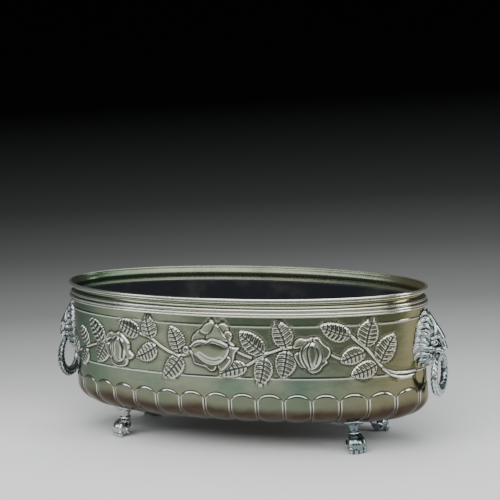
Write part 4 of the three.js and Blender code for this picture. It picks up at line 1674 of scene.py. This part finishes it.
@dataclass
class PawFoot:
    """A cast lion's paw on a leg, under a flange that follows the body's corner. Sizes in millimetres."""

    half: BodyHalf
    material: bpy.types.Material
    flange_radius: float = 12.5
    flange_thickness: float = 2.2
    flange_gap: float = 0.35
    leg_radius: float = 5.0
    leg_foot: float = 11.0
    bore: float = 2.9
    bore_depth: float = 12.3
    width: float = 22.5
    toes_per_width: float = 4.35
    forward: float = 7.0
    heading: float = 52.0
    sole: float = 0.02
    voxel: float = 0.45
    model: bmesh.types.BMesh | None = None

    def underside(self, x: np.ndarray, y: np.ndarray) -> np.ndarray:
        """Finds the height of the body's plain underside, by halving the oval's inset over each place.

        Args:
            x: The places' X in metres.
            y: The places' Y in metres.

        Returns:
            The heights in metres.
        """
        oval = self.half.oval
        low = np.zeros_like(x)
        high = np.full_like(x, oval.half_width * 0.95)
        for _ in range(40):
            inset = (low + high) / 2
            level = (x / (oval.half_length - inset)) ** 2 + (y / (oval.half_width - inset)) ** 2
            low = np.where(level < 1, inset, low)
            high = np.where(level < 1, high, inset)
        turn = np.arccos(np.clip(1 - low / self.half.corner_reach, 0, 1))
        return self.half.corner_top - self.half.corner_rise * np.sin(turn)

    def leg(self, x: float, y: float) -> bmesh.types.BMesh:
        """Models the flange and leg round the Z axis, with the flange bent to the body.

        Args:
            x: The X in metres at which the foot will stand.
            y: Its Y.

        Returns:
            The flange and leg in millimetres.
        """
        seat = self.half.bottom / MM - self.flange_gap
        flange, leg, edge = self.flange_radius, self.leg_radius, self.flange_thickness
        bored = [(0.0, self.bore_depth), (self.bore, self.bore_depth), (self.bore, 0.0)]
        disc = [(7.5, 0.0), (flange - 0.4, 0.0), (flange, 0.5), (flange, edge - 0.6)]
        neck = [(flange - 0.9, edge + 0.2), (9.5, edge + 0.5), (7.6, 4.2), (6.3, 5.8), (leg + 0.1, 8.2)]
        knuckle = [(leg - 0.3, 9.6), (leg + 1.7, 10.6), (leg + 1.7, 12.0), (leg - 0.2, 13.2)]
        outline = [*bored, *disc, *neck, *knuckle, (leg + 0.9, 16.0)]
        profile = [(radius, seat - below) for radius, below in outline]
        bm = turned([(0.0, self.leg_foot), (6.5, self.leg_foot), *reversed(profile)], 64)
        places = np.array([vert.co for vert in bm.verts])
        under = self.underside(x + places[:, 0] * MM, y + places[:, 1] * MM)
        rise = under / MM - self.half.bottom / MM
        follows = smoothstep(seat - 8.0, seat - 3.0, places[:, 2])
        in_bore = np.hypot(places[:, 0], places[:, 1]) <= self.bore + 0.01
        follows = np.where(in_bore & (places[:, 2] < seat - 1), 0, follows)
        for vert, lift in zip(bm.verts, rise * follows):
            vert.co.z += lift
        return bm

    def paw(self) -> list[Lump | Strand]:
        """Models the paw, which faces +X from under the leg.

        Returns:
            Its lumps and strands.
        """
        ahead = self.forward
        clay: list[Lump | Strand] = [
            Lump((ahead - 0.6, 0, 9.8), (10.4, 10.6, 10.0)),
            Lump((ahead - 6, 0, 13.5), (6, 6.5, 6.5)),
        ]
        pitch = self.width / self.toes_per_width
        for toe in (-1.5, -0.5, 0.5, 1.5):
            across = toe * pitch
            front = ahead + 7.3 - abs(toe) * 2.0
            clay += [
                Strand([(front - 6.5, across * 0.72, 17.6), (front - 2.4, across * 0.92, 15.2),
                        (front - 0.4, across, 11.6)], 2.0, 2.9),
                Lump((front - 0.4, across, 10.8), (2.9, 2.75, 3.2)),
                Lump((front + 0.2, across * 1.04, 4.6), (3.2, 2.8, 4.7), -8),
                Strand([(front + 1.4, across * 1.05, 4.6), (front + 2.3, across * 1.06, 3.0),
                        (front + 2.2, across * 1.06, 1.6)], 1.2, 0.8),
            ]
        for side in (-1, 1):
            clay += [
                Strand([(ahead - 8, side * 8.5, 12), (ahead - 3, side * 10, 9),
                        (ahead - 5, side * 9.5, 5)], 1.9, 1.3),
                Strand([(-3.5, side * 4, 21), (ahead - 5, side * 7, 19),
                        (ahead - 1, side * 7.4, 17)], 1.5, 1.0),
            ]
        return clay

    def shape(self, x: float, y: float) -> bmesh.types.BMesh:
        """Models the foot of the quarter of +X and +Y, with its leg on the Z axis.

        Args:
            x: The X in metres at which the foot will stand.
            y: Its Y.

        Returns:
            The foot in metres.
        """
        clay = Clay()
        for shape in self.paw():
            shape.add(clay)
        turn = Matrix.Rotation(math.radians(self.heading), 4, "Z")
        clay.places = [places @ np.array(turn.to_3x3()).T for places in clay.places]
        bm = clay.joined(self.voxel, self.leg(x, y))
        floor = turned([(0, -9), (60, -9), (60, self.sole), (0, self.sole)], 12)
        bm = carved(bm, floor)
        bmesh.ops.scale(bm, vec=(MM, MM, MM), verts=bm.verts)
        return bm

    def build(self, name: str) -> bpy.types.Object:
        """Builds a foot.

        Args:
            name: The node of the solid model that it stands in for.

        Returns:
            The foot.
        """
        stud_low, stud_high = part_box(name.replace("paw_foot", "foot_stud"))
        x, y = (stud_low.x + stud_high.x) / 2, (stud_low.y + stud_high.y) / 2
        if self.model is None:
            self.model = self.shape(abs(x), abs(y))
        bm = self.model.copy()
        bmesh.ops.translate(bm, verts=bm.verts, vec=(abs(x), abs(y), 0))
        bmesh.ops.scale(bm, vec=(math.copysign(1, x), math.copysign(1, y), 1), verts=bm.verts)
        if x * y < 0:
            bmesh.ops.reverse_faces(bm, faces=bm.faces)
        piece = Piece(name.replace("paw_foot", "paw"), "planter", "cast_brass", [name], self.material)
        return piece.add(bm, cavity_mm=0.27, spread=9)


# ---- Studio ---------------------------------------------------------------------------------------


@dataclass
class Studio:
    """A pale floor, soft lights and the camera."""

    azimuth: float = 22.78
    elevation: float = 10.44
    distance: float = 1.8768
    aim_across: float = 0.012
    aim_height: float = 0.2212
    roll: float = -3.06
    lens: float = 115.8
    light_aim: float = 0.1
    floor_radius: float = 40.0
    room: Colour = (0.13, 0.14, 0.145)

    def camera(self) -> None:
        """Adds the camera, turned round the planter and tilted down at it."""
        azimuth, elevation, roll = (math.radians(a) for a in (self.azimuth, self.elevation, self.roll))
        across = Vector((math.cos(azimuth), math.sin(azimuth), 0.0))
        away = Vector((math.sin(azimuth), -math.cos(azimuth), 0.0)) * math.cos(elevation)
        away.z = math.sin(elevation)
        target = across * self.aim_across + Vector((0.0, 0.0, self.aim_height))
        forward = -away
        right = forward.cross(Vector((0.0, 0.0, 1.0))).normalized()
        above = right.cross(forward)
        right_rolled = right * math.cos(roll) + above * math.sin(roll)
        above_rolled = above * math.cos(roll) - right * math.sin(roll)
        data = bpy.data.cameras.new("camera")
        data.lens = self.lens
        data.clip_end = 100.0
        camera = linked("camera", data)
        axes = Matrix((right_rolled, above_rolled, -forward)).transposed().to_4x4()
        camera.matrix_world = Matrix.Translation(target + away * self.distance) @ axes
        bpy.context.scene.camera = camera

    def light(self, name: str, place: Point3, size: Point2, watts: float, colour: Colour) -> None:
        """Adds a soft rectangular light that faces the planter.

        Args:
            name: Its name.
            place: Where it stands.
            size: Its width and height.
            watts: Its power.
            colour: Its colour.
        """
        data = bpy.data.lights.new(name, "AREA")
        data.shape = "RECTANGLE"
        data.size, data.size_y = size
        data.energy = watts
        data.color = colour
        lamp = linked(name, data)
        aim = Vector((0.0, 0.0, self.light_aim)) - Vector(place)
        lamp.rotation_euler = aim.to_track_quat("-Z", "Y").to_euler()
        lamp.location = place

    def floor(self) -> None:
        """Adds the floor."""
        bm = bmesh.new()
        bmesh.ops.create_circle(bm, cap_ends=True, radius=self.floor_radius, segments=96)
        mesh = mesh_of(bm, "floor")
        mesh.materials.append(StudioFloor().material())
        ground = linked("floor", mesh)

    def world(self) -> None:
        """Gives the room a dim even light."""
        world = bpy.data.worlds.new("room")
        bpy.context.scene.world = world
        world.use_nodes = True
        world.node_tree.nodes["Background"].inputs["Color"].default_value = (*self.room, 1.0)

    def build(self) -> None:
        """Builds the studio."""
        self.camera()
        self.floor()
        self.world()
        self.light("overhead", (-0.05, 0.0, 1.5), (2.0, 1.2), 17.0, (1.0, 1.0, 1.0))
        self.light("front_top", (0.15, -1.5, 1.5), (3.4, 1.2), 42.0, (1.0, 1.0, 0.98))
        self.light("front_left", (-1.5, -1.2, 1.0), (0.6, 1.0), 7.0, (0.88, 0.98, 1.0))
        self.light("right", (1.7, -0.3, 0.8), (0.5, 1.0), 10.0, (0.92, 0.97, 1.0))


# ---- Assembly -------------------------------------------------------------------------------------


def measured_oval() -> Oval:
    """Reads the wall's half length and half width off the model.

    Returns:
        The planter's plan.
    """
    _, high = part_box("front_shell")
    corners = [v.co for v in frame["nodes"]["front_shell"].data.vertices if v.co.z > high.z - MM]
    return Oval(max(abs(c.x) for c in corners), max(abs(c.y) for c in corners))


def dress_model(materials: dict[str, bpy.types.Material]) -> None:
    """Gives every node of the model the finish of its material slot.

    Args:
        materials: The finishes, by slot.
    """
    for part in frame["record"]["subparts"]:
        mesh = frame["nodes"][part["node"]].data
        mesh.materials.clear()
        mesh.materials.append(materials[part["material_slot"]])


def main() -> None:
    """Builds the planter's pieces and the studio."""
    logging.basicConfig(level=logging.INFO, format="%(message)s")
    Studio().build()
    oval = measured_oval()
    sheet_brass = AgedBrass("sheet_brass", tones=PAINTED_REFLECTION_AND_SHADE).material()
    # The cast colours lean to silver-blue: the brass's own tone and painted reflection of the cool light.
    cast_brass = AgedBrass(
        "cast_brass",
        polished=(0.50, 0.54, 0.53),
        toned=(0.22, 0.28, 0.29),
        worn=(0.93, 0.96, 0.98),
        crevice=(0.008, 0.010, 0.012),
        roughness=0.16,
        ripple_mm=0.1,
    ).material()
    fastener_brass = AgedBrass("fastener_brass", polished=(0.5, 0.42, 0.24), roughness=0.35).material()
    plastic = BlackPlastic("liner_plastic").material()
    dress_model({
        "sheet_brass": sheet_brass,
        "cast_brass": cast_brass,
        "fastener_brass": fastener_brass,
        "liner_plastic": plastic,
    })
    half = BodyHalf(oval, RoseGarland(), sheet_brass)
    for side in Side:
        half.build(side)
    Collar(oval, sheet_brass).build()
    mask = LionMask(oval, cast_brass)
    foot = PawFoot(half, cast_brass)
    for end in End:
        mask.build(end)
        RingHandle(cast_brass).build(end)
        for side in Side:
            foot.build(f"paw_foot_{side.value}_{end.label}")


if __name__ == "__main__":
    main()
